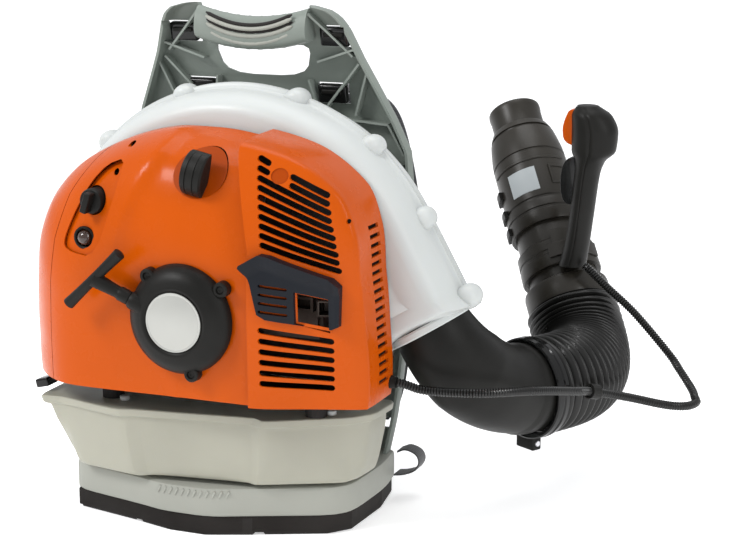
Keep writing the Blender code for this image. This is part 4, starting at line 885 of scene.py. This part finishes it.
def patch(name, outline, windows, proud, thick, mat, hood=None):
    """Plate that follows the covers' skin inside an outline."""
    xs = [p[0] for p in outline]
    zs = [p[1] for p in outline]
    step = 0.0025
    nx = int((max(xs) - min(xs)) / step) + 3
    nz = int((max(zs) - min(zs)) / step) + 3
    verts = []
    faces = []
    for layer in (0.0, -thick):
        for i in range(nx):
            for k in range(nz):
                verts.append((min(xs) - step + step * i, layer, min(zs) - step + step * k))
    half = nx * nz
    for i in range(nx - 1):
        for k in range(nz - 1):
            a = i * nz + k
            quad = (a, a + 1, a + nz + 1, a + nz)
            faces.append(quad)
            faces.append(tuple(v + half for v in reversed(quad)))
    rim = ([(i * nz, (i + 1) * nz) for i in range(nx - 1)]
           + [((nx - 1) * nz + k, (nx - 1) * nz + k + 1) for k in range(nz - 1)]
           + [((i + 1) * nz + nz - 1, i * nz + nz - 1) for i in range(nx - 1)]
           + [(k + 1, k) for k in range(nz - 1)])
    for a, b in rim:
        faces.append((a, b, b + half, a + half))
    plate = made(name, verts, faces, mat)
    boolean(plate, lambda bm: add_prism(bm, outline, -0.1, 0.1), "INTERSECT")

    def holes(bm):
        for window in windows:
            add_prism(bm, window, -0.1, 0.1)
    boolean(plate, holes)
    for v in plate.data.vertices:
        lift = hood(v.co.x, v.co.z) if hood and v.co.y < -thick / 2 else 0.0
        v.co.y += cover_depth(v.co.x, v.co.z, proud) - lift
    return shaded(plate, mat, 45)


def dish(name, x, z, half_x, half_z, deep, mat, proud=0.0):
    """Hollow sunk into the cover, open to the front."""
    rings = []
    for k in range(10):
        s = 1 - k / 10
        ring = []
        for px, pz in ellipse(x, z, half_x * s, half_z * s, 48):
            sunk = 0.0006 + deep * math.sqrt(1 - s * s * 0.999)
            ring.append(Vector((px, cover_depth(px, pz, proud) + sunk, pz)))
        rings.append(ring)
    return lofted(name, rings, mat, 60)


PANEL = rounded(mm((-56, 377.5), (-92, 364), (-123.5, 298), (-123, 283), (-81, 279)), 2)


def on_face(x, z):
    """Whether a place on the shroud is inside its rolled edge."""
    angle, reach = cover_polar(x, z)
    return reach < 0.97 * (eased(COVER_OUTLINE, angle) + SHROUD)


FIRST_SLOT = 0.173
SLOT_PITCH = 0.0088
SLOT_HALF = 0.003


def slot_rows():
    """Both ends of every slot in the shroud's face, cut short at its rolled edge."""
    low = [(0.0945, FIRST_SLOT + 0.0104 * i, 0.1565) for i in range(6)]
    high = [(0.0955 - 0.0008 * i, 0.306 + SLOT_PITCH * i, 0.164 - 0.0014 * i) for i in range(11)]
    kept = []
    for xl, z, xr in low + high:
        slope = -(0.06 + 2.05 * (z - FIRST_SLOT))
        end = xl
        while end < xr and on_face(end + 0.001, z + slope * (end + 0.001 - xl)):
            end += 0.001
        if end - xl > 0.008:
            kept.append((xl, z, end, z + slope * (end - xl)))
    return kept


SCREW = (0.1085, 0.37)
FAR = -0.2
BEHIND = -0.06
SEAM_GAP = 0.0004


def cut_through(bm, *outlines, depth=BEHIND):
    for outline in outlines:
        add_prism(bm, outline, FAR, depth)


def shell(name, node, outline, openings=None, proud=0.0):
    """The part of the covers' skin that lies inside an outline."""
    cover = cover_skin(name, proud)
    boolean(cover, lambda bm: add_prism(bm, outline, FAR, 0.0), "INTERSECT")
    if openings:
        boolean(cover, openings)
    settle(shaded(cover, ORANGE, 40), [node])


def shroud_openings(bm):
    for xl, zl, xr, zr in slot_rows():
        slope = (zr - zl) / (xr - xl)
        runs = [(xl, xr)]
        if abs(zl + slope * (SCREW[0] - xl) - SCREW[1]) < 0.0105:
            runs = [(a, b) for a, b in ((xl, SCREW[0] - 0.012), (SCREW[0] + 0.012, xr)) if b - a > 0.006]
        for a, b in runs:
            z = [zl + slope * (a - xl), zr if b == xr else zl + slope * (b - xl)]
            cut_through(bm, stadium(a, z[0], b, z[1], SLOT_HALF))
    for i in range(18):
        add_box(bm, (0.195, -0.072, 0.168 + SLOT_PITCH * i), (0.06, 0.024, 0.0042))
    cut_through(bm, mm((126, 232), (156, 223), (156, 258), (126, 266)), depth=-0.075)
    cut_through(bm, ellipse(*SCREW, 0.0082, 0.0072, 28))
    for x, z in ((0.1718, 0.3295), (0.1631, 0.2681), (0.164, 0.238)):
        cut_through(bm, ellipse(x, z, 0.0018, 0.0024, 14))


def front_openings(bm):
    add_rod(bm, (CRANK_X, FAR, CRANK_Z), (CRANK_X, -0.1, CRANK_Z), 0.048, 64)
    cut_through(bm, ellipse(KNOB.x, KNOB.z, 0.0262, 0.0222), PANEL,
                ellipse(-0.0668, 0.385, 0.004, 0.0026, 20, 20))


def beside(seam, gap):
    return [(x + gap, z) for x, z in seam]


def covers():
    shell("cover_front", "front_cover",
          beside(SEAM_LEFT, SEAM_GAP) + beside(SEAM_RIGHT, -SEAM_GAP)[::-1], front_openings)
    shell("cover_side", "side_cover",
          beside(SEAM_LEFT, -SEAM_GAP) + [(-0.25, 0.43), (-0.25, 0.14)])
    shell("cover_shroud", "engine_shroud",
          beside(SEAM_RIGHT, SEAM_GAP) + [(0.25, 0.43), (0.25, 0.14)], shroud_openings, SHROUD)
    holes = [ellipse(CHOKE.x, CHOKE.z, 0.0138, 0.0138, 32), ellipse(PRIMER.x, PRIMER.z, 0.0098, 0.0098, 28),
             ellipse(-0.0723, 0.3605, 0.0032, 0.0032, 18), ellipse(-0.0613, 0.364, 0.002, 0.002, 14)]
    settle(patch("control_panel", PANEL, holes, -0.0034, 0.0016, ORANGE))
    # Both hollows take the darker orange: painted shade inside them.
    settle(dish("knob_hollow", KNOB.x, KNOB.z, 0.0264, 0.0224, 0.014, PAINTED_SHADOW_ORANGE))
    settle(dish("screw_hollow", *SCREW, 0.0086, 0.0076, 0.01, PAINTED_SHADOW_ORANGE, SHROUD))
    depth = cover_depth(*SCREW, SHROUD) + 0.008
    turned("shroud_screw", mm((0, 3), (1.8, 3), (2, 1), (4, 1), (4.2, 0), (4.2, -2), (0, -2)),
           (SCREW[0], depth, SCREW[1]), -Y_AXIS, EXHAUST, 24)


def guard():
    outline = rounded(mm((76, 287), (98, 300), (168, 274), (166, 226), (94, 238), (86, 273)), 1, 0.1)
    windows = [mm((127, 233), (157, 226), (157, 257), (127, 264))]
    for i in range(4):
        z = 0.243 + 0.0082 * i
        windows.append(stadium(0.096, z + 0.0015, 0.12, z - 0.0015, 0.0014))

    def hood(x, z):
        top = 0.3 - (x - 0.098) * 0.37 if x > 0.098 else 0.287 + (x - 0.076) * 0.59
        edge = max(0.0, 1 - (top - z) / 0.013)
        return 0.0065 * min(1.0, edge) ** 0.7 + (0.002 if x > 0.16 else 0.0)
    settle(patch("guard_plate", outline, windows, 0.0088, 0.0045, CHARCOAL, hood), ["exhaust_guard"])
    rim = [mm((128.5, 234.5), (155.5, 228.5), (155.5, 255.5), (128.5, 262))]
    settle(patch("guard_window_lip", mm((126, 232), (158, 225), (158, 258), (126, 265)), rim,
                 0.0084, 0.0008, ORANGE))
    centre = Vector((0.145, -0.104, 0.244))
    lean = tilted(20, "Z")
    nozzle = block("exhaust_nozzle", centre, (0.0185, 0.022, 0.0165), lean, EXHAUST, 0.0014)
    boolean(nozzle, lambda bm: add_box(bm, centre + lean @ Vector((0, -0.006, 0)),
                                       (0.014, 0.024, 0.012), lean))
    settle(nozzle)
    # Dark sheet just behind the covers: painted shade, so all that shows through the slots and grilles reads
    # dark.
    bay = [cover_place(angle, eased(COVER_OUTLINE, angle) + (SHROUD - 0.0006 if angle < 62 else -0.0028))
           for angle in range(2, 179, 4)]
    back = slab("engine_bay_painted_shade_sheet", bay, -0.051, -0.0496, PAINTED_SHADE, 0.0003, 1)
    boolean(back, lambda bm: add_rod(bm, (CRANK_X, -0.07, CRANK_Z), (CRANK_X, -0.03, CRANK_Z), 0.042))
    settle(back)
    latch = Vector((-0.175, -0.09, 0.1335))
    tilt = tilted(-14, "Y")
    settle(block("tank_latch", latch, (0.015, 0.02, 0.009), tilt, GLOSS, 0.0022))


# --- controls and starter ---
def knobs():
    lanes = [(-1.0, 0.003), (-0.86, 0.0006), (-0.46, 0.0), (-0.42, 0.0009), (-0.32, 0.0009), (-0.28, 0.0),
             (0.28, 0.0), (0.32, 0.0009), (0.42, 0.0009), (0.46, 0.0), (0.86, 0.0006), (1.0, 0.003)]
    lean = tilted(12, "Y")
    rings = []
    for i in range(33):
        a = math.pi * i / 32
        front = 0.008 - 0.0185 * math.sin(a)
        half = 0.01 + 0.0014 * math.sin(a)
        z = 0.0215 * math.cos(a)
        section = [(-half, 0.0095)] + [(u * half, front + sunk) for u, sunk in lanes] + [(half, 0.0095)]
        rings.append([KNOB + lean @ Vector((x, y, z)) for x, y in section])
    settle(lofted("knob_bar", rings, BLACK, 30), ["cover_knob"], "filter_lock")
    place = (CHOKE.x, CHOKE.y + 0.005, CHOKE.z)
    profile = mm((0, 6.5), (9.5, 6.5), (11.5, 5.8), (12.4, 4), (12.5, -10), (4, -10), (4, -22), (0, -22))
    turned("choke_disc", profile, place, -Y_AXIS, BLACK, 48, ["choke_knob"], "choke")
    turn = tilted(18, "Y")
    middle = (CHOKE.x, CHOKE.y - 0.0055, CHOKE.z)
    settle(block("choke_wing", middle, (0.0068, 0.0135, 0.0205), turn, BLACK, 0.0016), body="choke")
    place = (PRIMER.x, PRIMER.y + 0.004, PRIMER.z)
    profile = mm((0, 8.8), (2.2, 8.6), (4.2, 7.8), (6, 6.2), (7.4, 4), (8.2, 1.5), (8.5, -1), (8.5, -6),
                 (0, -6))
    turned("primer_dome", profile, place, -Y_AXIS, SMOKE, 48, ["primer_bulb"], "primer", smooth=60)
    ring = mm((8.8, 0), (9.8, 0.8), (11.2, 0.4), (11.6, -1.2), (11, -3), (8.8, -3))
    seat = Vector((PRIMER.x, cover_depth(PRIMER.x, PRIMER.z) + 0.0015, PRIMER.z))
    turned("primer_ring", ring, seat, -Y_AXIS, BLACK, 48, closed=True)


STARTER_Y = -0.1425
ROPE_EXIT = Vector((-0.0385, -0.153, 0.2455))
GRIP_MIDDLE = Vector((-0.0735, -0.161, 0.264))
ROPE_AXIS = (GRIP_MIDDLE - ROPE_EXIT).normalized()


def starter():
    place = Vector((CRANK_X, STARTER_Y, CRANK_Z))
    profile = mm((0, 16.3), (29.5, 16.3), (30.5, 16.8), (31.8, 17.8), (33.5, 18), (35.2, 17.4), (38, 16.6),
                 (41, 15.6), (44, 14.1), (47, 12), (50, 9.2), (52.2, 6.2), (53.5, 3), (54, 0), (51.5, 0),
                 (50, 5), (42, 11.5), (33, 14), (0, 14))
    turned("starter_dome", profile, place, -Y_AXIS, BLACK, 96, ["starter_cover"], smooth=45)
    ear = mm((0, 7.5), (3.5, 7.5), (4.2, 9.8), (6.2, 9.8), (7.4, 8.6), (7.8, 0), (0, 0))
    head = mm((0, 6.2), (1.4, 6.2), (1.5, 8), (3, 8), (3.4, 7.4), (3.4, 6), (0, 6))
    for k, (angle, reach) in enumerate(((127.6, 0.0515), (36.4, 0.057), (-75.4, 0.0535))):
        spot = off_crank(angle, reach, STARTER_Y)
        turned(f"starter_ear_{k}", ear, spot, -Y_AXIS, BLACK, 32)
        turned(f"starter_screw_{k}", head, spot, -Y_AXIS, BLACK, 24)
    guide = mm((4.2, 0), (5, 1.2), (7.5, 1), (8.8, -1), (9.2, -4), (10.5, -20), (4.2, -20))
    turned("rope_guide", guide, ROPE_EXIT, ROPE_AXIS, BLACK, 40, closed=True)
    disc = mm((0, 1), (26.2, 1), (26.8, 0.7), (27.4, 1), (28.6, 1), (29, 0.6), (29, 0), (0, 0))
    turned("badge_plate", disc, place - Y_AXIS * 0.0168, -Y_AXIS, BADGE, 96, ["starter_badge"])


def pull_grip():
    bar = Vector((0.061, 0.0, 0.057)).normalized()
    count = 44
    route = [GRIP_MIDDLE + bar * (0.041 * (2 * k / count - 1)) for k in range(count + 1)]
    radii = []
    for k in range(count + 1):
        s = abs(2 * k / count - 1)
        rounding = max(0.02, 1 - max(0.0, (s - 0.96) / 0.04) ** 3) ** 0.5
        radii.append((0.005 + 0.001 * s * s) * rounding)
    settle(sweep("grip_bar", route, radii, BLACK, 32, smooth=55), ["starter_grip"], "starter_handle")
    stem = mm((7.8, 0), (7.4, -6), (6.6, -16), (6, -26), (6.4, -27.5), (7.2, -29), (7, -38.5),
              (6.2, -39.5), (2.2, -39.5), (2.2, 0))
    turned("grip_stem", stem, GRIP_MIDDLE, ROPE_AXIS, BLACK, 32, body="starter_handle", closed=True)
    start = ROPE_EXIT - ROPE_AXIS * 0.018
    end = GRIP_MIDDLE - ROPE_AXIS * 0.015
    line = [start.lerp(end, k / 40) for k in range(41)]
    rope = sweep("rope_run", line, [0.0018 - 0.0001 * (k % 2) for k in range(41)], ROPE, 16, smooth=60)
    bend(rope, "starter_rope")


# --- tank and feet ---
TANK_FLOOR = 0.055


def tank():
    rim = mm((-171, -113), (-146, -109), (-72, -128), (-55, -121), (64, -103), (79, -111), (153, -67),
             (170, -45), (173, 4), (136, 4), (130, -52), (-136, -52), (-142, 4), (-172, 4))
    floor = mm((-136, -92), (-130, -107), (-59, -122), (-45, -113), (60, -99), (70, -103), (148, -62),
               (155, -45), (158, -8), (130, -8), (124, -54), (-128, -54), (-130, -8), (-138, -8))
    levels = [(0.0, 0.0, -0.005), (0.01, 0.0008, -0.003), (0.02, 0.0022, -0.0012), (0.04, 0.005, 0.0),
              (0.2, 0.014, 0.0), (0.45, 0.031, -0.001), (0.66, 0.045, -0.002), (0.8, 0.056, -0.0035),
              (0.86, 0.0595, -0.0045), (0.9, 0.0612, -0.0042), (0.93, 0.0618, -0.0015),
              (0.95, 0.0626, 0.0), (0.98, 0.0665, 0.0004), (1.0, 0.069, 0.0002), (1.0, 0.0698, -0.001),
              (1.0, 0.07, -0.003)]
    rings = []
    for share, rise, grow in levels:
        flat = [(x0 + (x1 - x0) * share, y0 + (y1 - y0) * share)
                for (x0, y0), (x1, y1) in zip(floor, rim)]
        ring = []
        for x, y in rounded(flat, 2, 0.11):
            out = Vector((x, y + 0.06)).normalized() * grow
            ring.append(Vector((x + out.x, y + out.y, TANK_FLOOR + rise)))
        rings.append(ring)
    settle(lofted("tank_body", rings, CREAM, 28), ["fuel_tank"])
    for k, (x, y) in enumerate(((-0.098, -0.088), (0.12, -0.074), (-0.08, -0.097), (0.133, -0.066))):
        turned(f"isolator_stud_{k}", mm((0, 0), (4.5, 0), (5, 1), (5, 3.5), (4.2, 4.5), (0, 4.5)),
               (x, y, 0.1255), Z_AXIS, WHITE if k > 1 else STEEL, 24)


# --- carrier ---
PLATE_FOOT = 0.045
PLATE_STEP = 0.004
PLATE_ROWS = 117
STRAP_SLOTS = [(0.085, 0.482), (0.075, 0.422)]
PLATE_WIDTH = mm((45, 143), (150, 150), (300, 158), (364, 157), (400, 143), (460, 115), (492, 103),
                 (503, 96), (509, 87), (513, 72))
PLATE_BACK = mm((45, 72), (90, 92), (150, 104), (250, 108), (360, 98), (420, 85), (485, 65), (513, 52))
SHELF_OUTLINE = mm((-146, -88), (-66, -106), (-30, -116), (20, -116), (64, -96), (132, -66), (148, -46),
                   (152, 30), (144, 86), (-144, 86), (-152, 30), (-150, -60))
GRIP_REACH = 0.062
GRIP_CENTRE = Vector((0.05, 0.494))
GRIP_SECTION = mm((36, 478), (34, 492), (40, 508), (52, 512), (63, 500), (66, 484), (56, 476))
RIBS = mm((62, 505, 104, 462), (64, 455, 108, 470), (100, 400, 118, 448), (52, 436, 60, 398),
          (60, 398, 135, 392), (135, 392, 150, 360), (110, 455, 60, 398), (146, 350, 130, 300),
          (130, 300, 150, 240), (128, 230, 148, 170), (128, 230, 152, 290), (120, 110, 144, 170))
RIB_STEPS = 8
RIB_ORDER = (0, 1, 3, 2)


def plate_back(z):
    return eased(PLATE_BACK, z)


def carrier_plate():
    rings = []
    for k in range(PLATE_ROWS + 1):
        z = PLATE_FOOT + PLATE_STEP * k
        half = keyed(PLATE_WIDTH, z)
        back = plate_back(z)
        outer = [(half, back - 0.0215), (half + 0.0004, back - 0.02), (half, back - 0.008),
                 (half - 0.0012, back - 0.004), (half - 0.0042, back - 0.001), (half - 0.008, back)]
        inner = [(half - 0.003, back - 0.0215), (half - 0.0035, back - 0.02),
                 (half - 0.0036, back - 0.009), (half - 0.0048, back - 0.0058),
                 (half - 0.0075, back - 0.004), (half - 0.01, back - 0.0035)]
        right = outer + [(-x, y) for x, y in reversed(outer)]
        left = [(-x, y) for x, y in inner] + list(reversed(inner))
        rings.append([Vector((x, y, z)) for x, y in right + left])
    plate = lofted("carrier_plate", rings, GREY, 45)

    def openings(bm):
        add_prism(bm, rounded(mm((-46, 438), (46, 438), (56, 474), (0, 464), (-56, 474)), 2, 0.2), 0.02, 0.11)
        add_prism(bm, mm((-60, 503), (0, 492.5), (60, 503), (64, 530), (-64, 530)),
                  0.02, 0.11)
        for side in (-1, 1):
            for x, z in STRAP_SLOTS:
                add_box(bm, (side * x, 0.07, z), (0.034, 0.08, 0.022))
            for z in (0.075, 0.17):
                add_box(bm, (side * 0.118, 0.1, z), (0.04, 0.06, 0.01))
    boolean(plate, openings)
    settle(shaded(plate, GREY, 45), ["back_plate"])


def carry_grip():
    rows = []
    for i in range(49):
        x = -GRIP_REACH + 2 * GRIP_REACH * i / 48
        sag = 0.01 * (1 - (x / GRIP_REACH) ** 2)
        rib = 0.0012 if abs(x) < 0.046 and i % 5 == 2 else 0.0
        rows.append([Vector((x, y + (y - GRIP_CENTRE.x) * rib * 18, z - sag + (z - GRIP_CENTRE.y) * rib * 18))
                     for y, z in rounded(GRIP_SECTION, 2, 0.24)])
    settle(lofted("carry_grip", rows, GREY, 60))

    inner = range(1, 24)
    # The rails take the lighter shelf grey against the darker grip: a painted highlight along each rail.
    for k, (reach, z) in enumerate(((0.048, 0.4875), (0.048, 0.48), (0.046, 0.4725))):
        route = []
        for i in range(25):
            x = reach * (2 * i / 24 - 1)
            route.append(Vector((x, 0.0345 + 0.001 * k, z + 0.012 * (x / reach) ** 2 + 0.001)))
        settle(sweep(f"grip_rail_{k}", route, [0.0022 if i in inner else 0.001 for i in range(25)],
                     SHELF, 16, smooth=60))
        # Dark strips just behind and above each rail: painted shade in the gaps between the rails.
        shadow = [p + Vector((0, 0.0012, 0.0038)) for p in route]
        settle(sweep(f"grip_painted_shade_strip_{k}", shadow, [0.002 if i in inner else 0.0008 for i in range(25)],
                     PAINTED_SHADE, 12, smooth=60))


def anchors_and_ribs():
    tilt = tilted(12, "X")
    for side in (-1, 1):
        tag = "left" if side < 0 else "right"
        for k, (x, z) in enumerate(STRAP_SLOTS):
            spot = Vector((side * x, plate_back(z) - 0.006, z))
            settle(block(f"strap_anchor_{tag}_{k}", spot, (0.0315, 0.009, 0.0195), tilt, GLOSS, 0.003))
            settle(block(f"strap_anchor_bar_{tag}_{k}", spot + Vector((0, -0.0052, 0.002)),
                         (0.022, 0.004, 0.0045), tilt, BLACK))

        def web(bm):
            for xa, za, xb, zb in RIBS:
                for i in range(RIB_STEPS):
                    x0 = side * (xa + (xb - xa) * i / RIB_STEPS)
                    x1 = side * (xa + (xb - xa) * (i + 1) / RIB_STEPS)
                    z0 = za + (zb - za) * i / RIB_STEPS
                    z1 = za + (zb - za) * (i + 1) / RIB_STEPS
                    across = Vector((-(z1 - z0), x1 - x0)).normalized() * 0.0011
                    corners = []
                    for x, z in ((x0, z0), (x1, z1)):
                        y = plate_back(z)
                        for sign in (-1, 1):
                            corners.append((x + across.x * sign, y, z + across.y * sign))
                    low = [bm.verts.new((x, y - 0.003, z)) for x, y, z in corners]
                    high = [bm.verts.new((x, y - 0.0145, z)) for x, y, z in corners]
                    bm.faces.new([low[q] for q in RIB_ORDER])
                    bm.faces.new([high[q] for q in reversed(RIB_ORDER)])
                    for a, b in zip(RIB_ORDER, RIB_ORDER[1:] + RIB_ORDER[:1]):
                        bm.faces.new((low[a], low[b], high[b], high[a]))
        ribs = solid(web)
        ribs.name = f"carrier_ribs_{tag}"
        settle(shaded(ribs, GREY))


def shelf():
    outline = rounded(SHELF_OUTLINE, 2, 0.18)
    levels = mm((20.3, -2), (21.2, -0.6), (23, 0), (46.2, 0), (49, -0.8), (50, -2.6))
    rings = [[Vector((x * (1 + grow / 0.15), y * (1 + grow / 0.1), z)) for x, y in outline]
             for z, grow in levels]
    tray = lofted("carrier_shelf", rings, SHELF, 45)
    inside = [(x * 0.95, y * 0.93 - 0.001) for x, y in outline]
    boolean(tray, lambda bm: add_prism(bm, inside, 0.0, 0.044, True))
    settle(shaded(tray, SHELF, 45))
    face = sorted(p for p in outline if p[1] < -0.08)

    def ridges(bm):
        lean = tilted(28, "Y")
        for i in range(12):
            x = -0.034 + 0.0066 * i
            add_box(bm, (x, keyed(face, x) - 0.0001, 0.0435), (0.0024, 0.002, 0.008), lean)
    settle(bevelled("shelf_ridges", ridges, SHELF, 0.0006, 2))

    front = SHELF_OUTLINE[-1:] + SHELF_OUTLINE[:7]
    strip = [(x * 0.985, y * 0.975) for x, y in front] + [(x * 0.9, y * 0.86) for x, y in reversed(front)]
    settle(slab("sole_strip", strip, 0.003, 0.0205, RUBBER, 0.0008, 2, True))


# --- harness ---
PAD_VOXEL = 0.006
PAD_SWELL = 0.005
PAD_SEAMS = (0.165, 0.235, 0.305)
PAD_SEAM_SIDE = 0.05
PAD_SEAM_DEPTH = 0.006
PAD_SEAM_WIDTH = 0.0042
PAD_FRAMES = 20
STRAP_PAD_START = 0.14
STRAP_PAD_END = 0.62
BUCKLE_AT = 0.68


def back_pad():
    rings = []
    for z, half, thick in ((0.103, 0.082, 0.01), (0.115, 0.102, 0.018), (0.15, 0.107, 0.021),
                           (0.22, 0.112, 0.021), (0.3, 0.11, 0.021), (0.364, 0.105, 0.019),
                           (0.388, 0.092, 0.015), (0.396, 0.075, 0.009)):
        y = keyed(PLATE_BACK, z) + 0.0035
        ring = [(half, y), (half - 0.004, y + thick), (-half + 0.004, y + thick), (-half, y)]
        rings.append([Vector((x, yy, z)) for x, yy in ring])
    pad = lofted("pad_cushion", rings, PAD)
    remesh = pad.modifiers.new("voxels", "REMESH")
    remesh.mode = "VOXEL"
    remesh.voxel_size = PAD_VOXEL
    applied(pad)
    rest = [v.co.copy() for v in pad.data.vertices]
    cloth = pad.modifiers.new("cloth", "CLOTH")
    cloth.settings.use_pressure = True
    cloth.settings.uniform_pressure_force = 4.0
    cloth.settings.effector_weights.gravity = 0.0
    for step in range(1, PAD_FRAMES + 1):
        SCENE.frame_set(step)
    applied(pad)
    SCENE.frame_set(1)
    for v, start in zip(pad.data.vertices, rest):
        move = v.co - start
        if move.length > PAD_SWELL:
            v.co = start + move.normalized() * PAD_SWELL
        v.co.y = max(v.co.y, plate_back(v.co.z) + 0.0008)
    fine = pad.modifiers.new("fine", "SUBSURF")
    fine.levels = 1
    applied(pad)
    for v in pad.data.vertices:
        outer = v.co.y - plate_back(v.co.z)
        if outer > 0.01:
            seam = min(abs(v.co.z - z) for z in PAD_SEAMS)
            seam = min(seam, abs(abs(v.co.x) - PAD_SEAM_SIDE))
            v.co.y -= PAD_SEAM_DEPTH * math.exp(-(seam / PAD_SEAM_WIDTH) ** 2)
    settle(shaded(pad, PAD, 80), ["back_pad"])


def band(name, route, across, half, thick, mat, sides, power):
    """Flat strap along a route; half and thick are functions of the share along it."""
    rings = []
    count = len(route)
    for i, place in enumerate(route):
        ahead = route[min(i + 1, count - 1)] - route[max(i - 1, 0)]
        normal = across.cross(ahead).normalized()
        share = i / (count - 1)
        ring = []
        for c, s in circle(sides):
            u = math.copysign(abs(c) ** power, c)
            v = math.copysign(abs(s) ** power, s)
            ring.append(place + across * half(share) * u + normal * thick(share) * v)
        rings.append(ring)
    return lofted(name, rings, mat, 50)


def harness():
    for side in (-1, 1):
        tag = "left" if side < 0 else "right"
        knots = mm((75, 92.5, 422), (77, 112, 426.5), (81, 146, 415), (88, 171, 375), (97, 183, 315),
                   (106, 182, 245), (113, 171, 175), (117, 150, 115), (118, 122, 83), (118, 92.5, 75.5))
        route = smooth_route([(side * x, y, z) for x, y, z in knots], 0.004)
        settle(band(f"strap_webbing_{tag}", route, X_AXIS, lambda s: 0.0135, lambda s: 0.0011,
                    WEBBING, 12, 0.35), [f"shoulder_strap_{tag}"])
        count = len(route)
        padded = route[int(count * STRAP_PAD_START):int(count * STRAP_PAD_END)]
        pad = band(f"strap_pad_{tag}", padded, X_AXIS,
                   lambda s: 0.03 * (1 - 0.45 * abs(2 * s - 1) ** 8),
                   lambda s: 0.0055 * (1 - 0.75 * abs(2 * s - 1) ** 10)
                   * (1 - 0.22 * math.exp(-((s % 0.2 - 0.1) / 0.012) ** 2)), PAD, 28, 0.6)
        settle(pad)
        for edge in (-1, 1):
            line = [p + X_AXIS * edge * (0.0293 * (1 - 0.45 * abs(2 * i / (len(padded) - 1) - 1) ** 8))
                    for i, p in enumerate(padded)]
            settle(sweep(f"strap_binding_{tag}_{edge + 1}", line, [0.0017] * len(line), PIPING, 10))
        here = int(count * BUCKLE_AT)
        spot = route[here]
        ahead = (route[here + 1] - spot).normalized()
        tilt = Matrix.Rotation(math.atan2(-ahead.y, -ahead.z), 3, "X").transposed()

        def buckle(bm):
            for dz in (-0.011, 0.0, 0.011):
                add_box(bm, spot + tilt @ Vector((0, 0, dz)), (0.036, 0.005, 0.0038), tilt)
            for dx in (-0.0165, 0.0165):
                add_box(bm, spot + tilt @ Vector((dx, 0, 0)), (0.0036, 0.0054, 0.026), tilt)
        settle(bevelled(f"strap_buckle_{tag}", buckle, GLOSS, 0.0008, 2))
    knots = mm((156, 62, 54), (164, 66, 56), (173, 72, 50), (175, 76, 40), (170, 76, 31), (160, 72, 27),
               (151, 66, 27))
    settle(band("webbing_tail", smooth_route(knots, 0.0015), Y_AXIS, lambda s: 0.01, lambda s: 0.001,
                WEBBING, 12, 0.35), ["webbing_loop"])


camera()
cables()
studio()
housing()
elbow()
hose()
tube()
handle()
covers()
guard()
knobs()
starter()
pull_grip()
tank()
carrier_plate()
carry_grip()
anchors_and_ribs()
shelf()
back_pad()
harness()
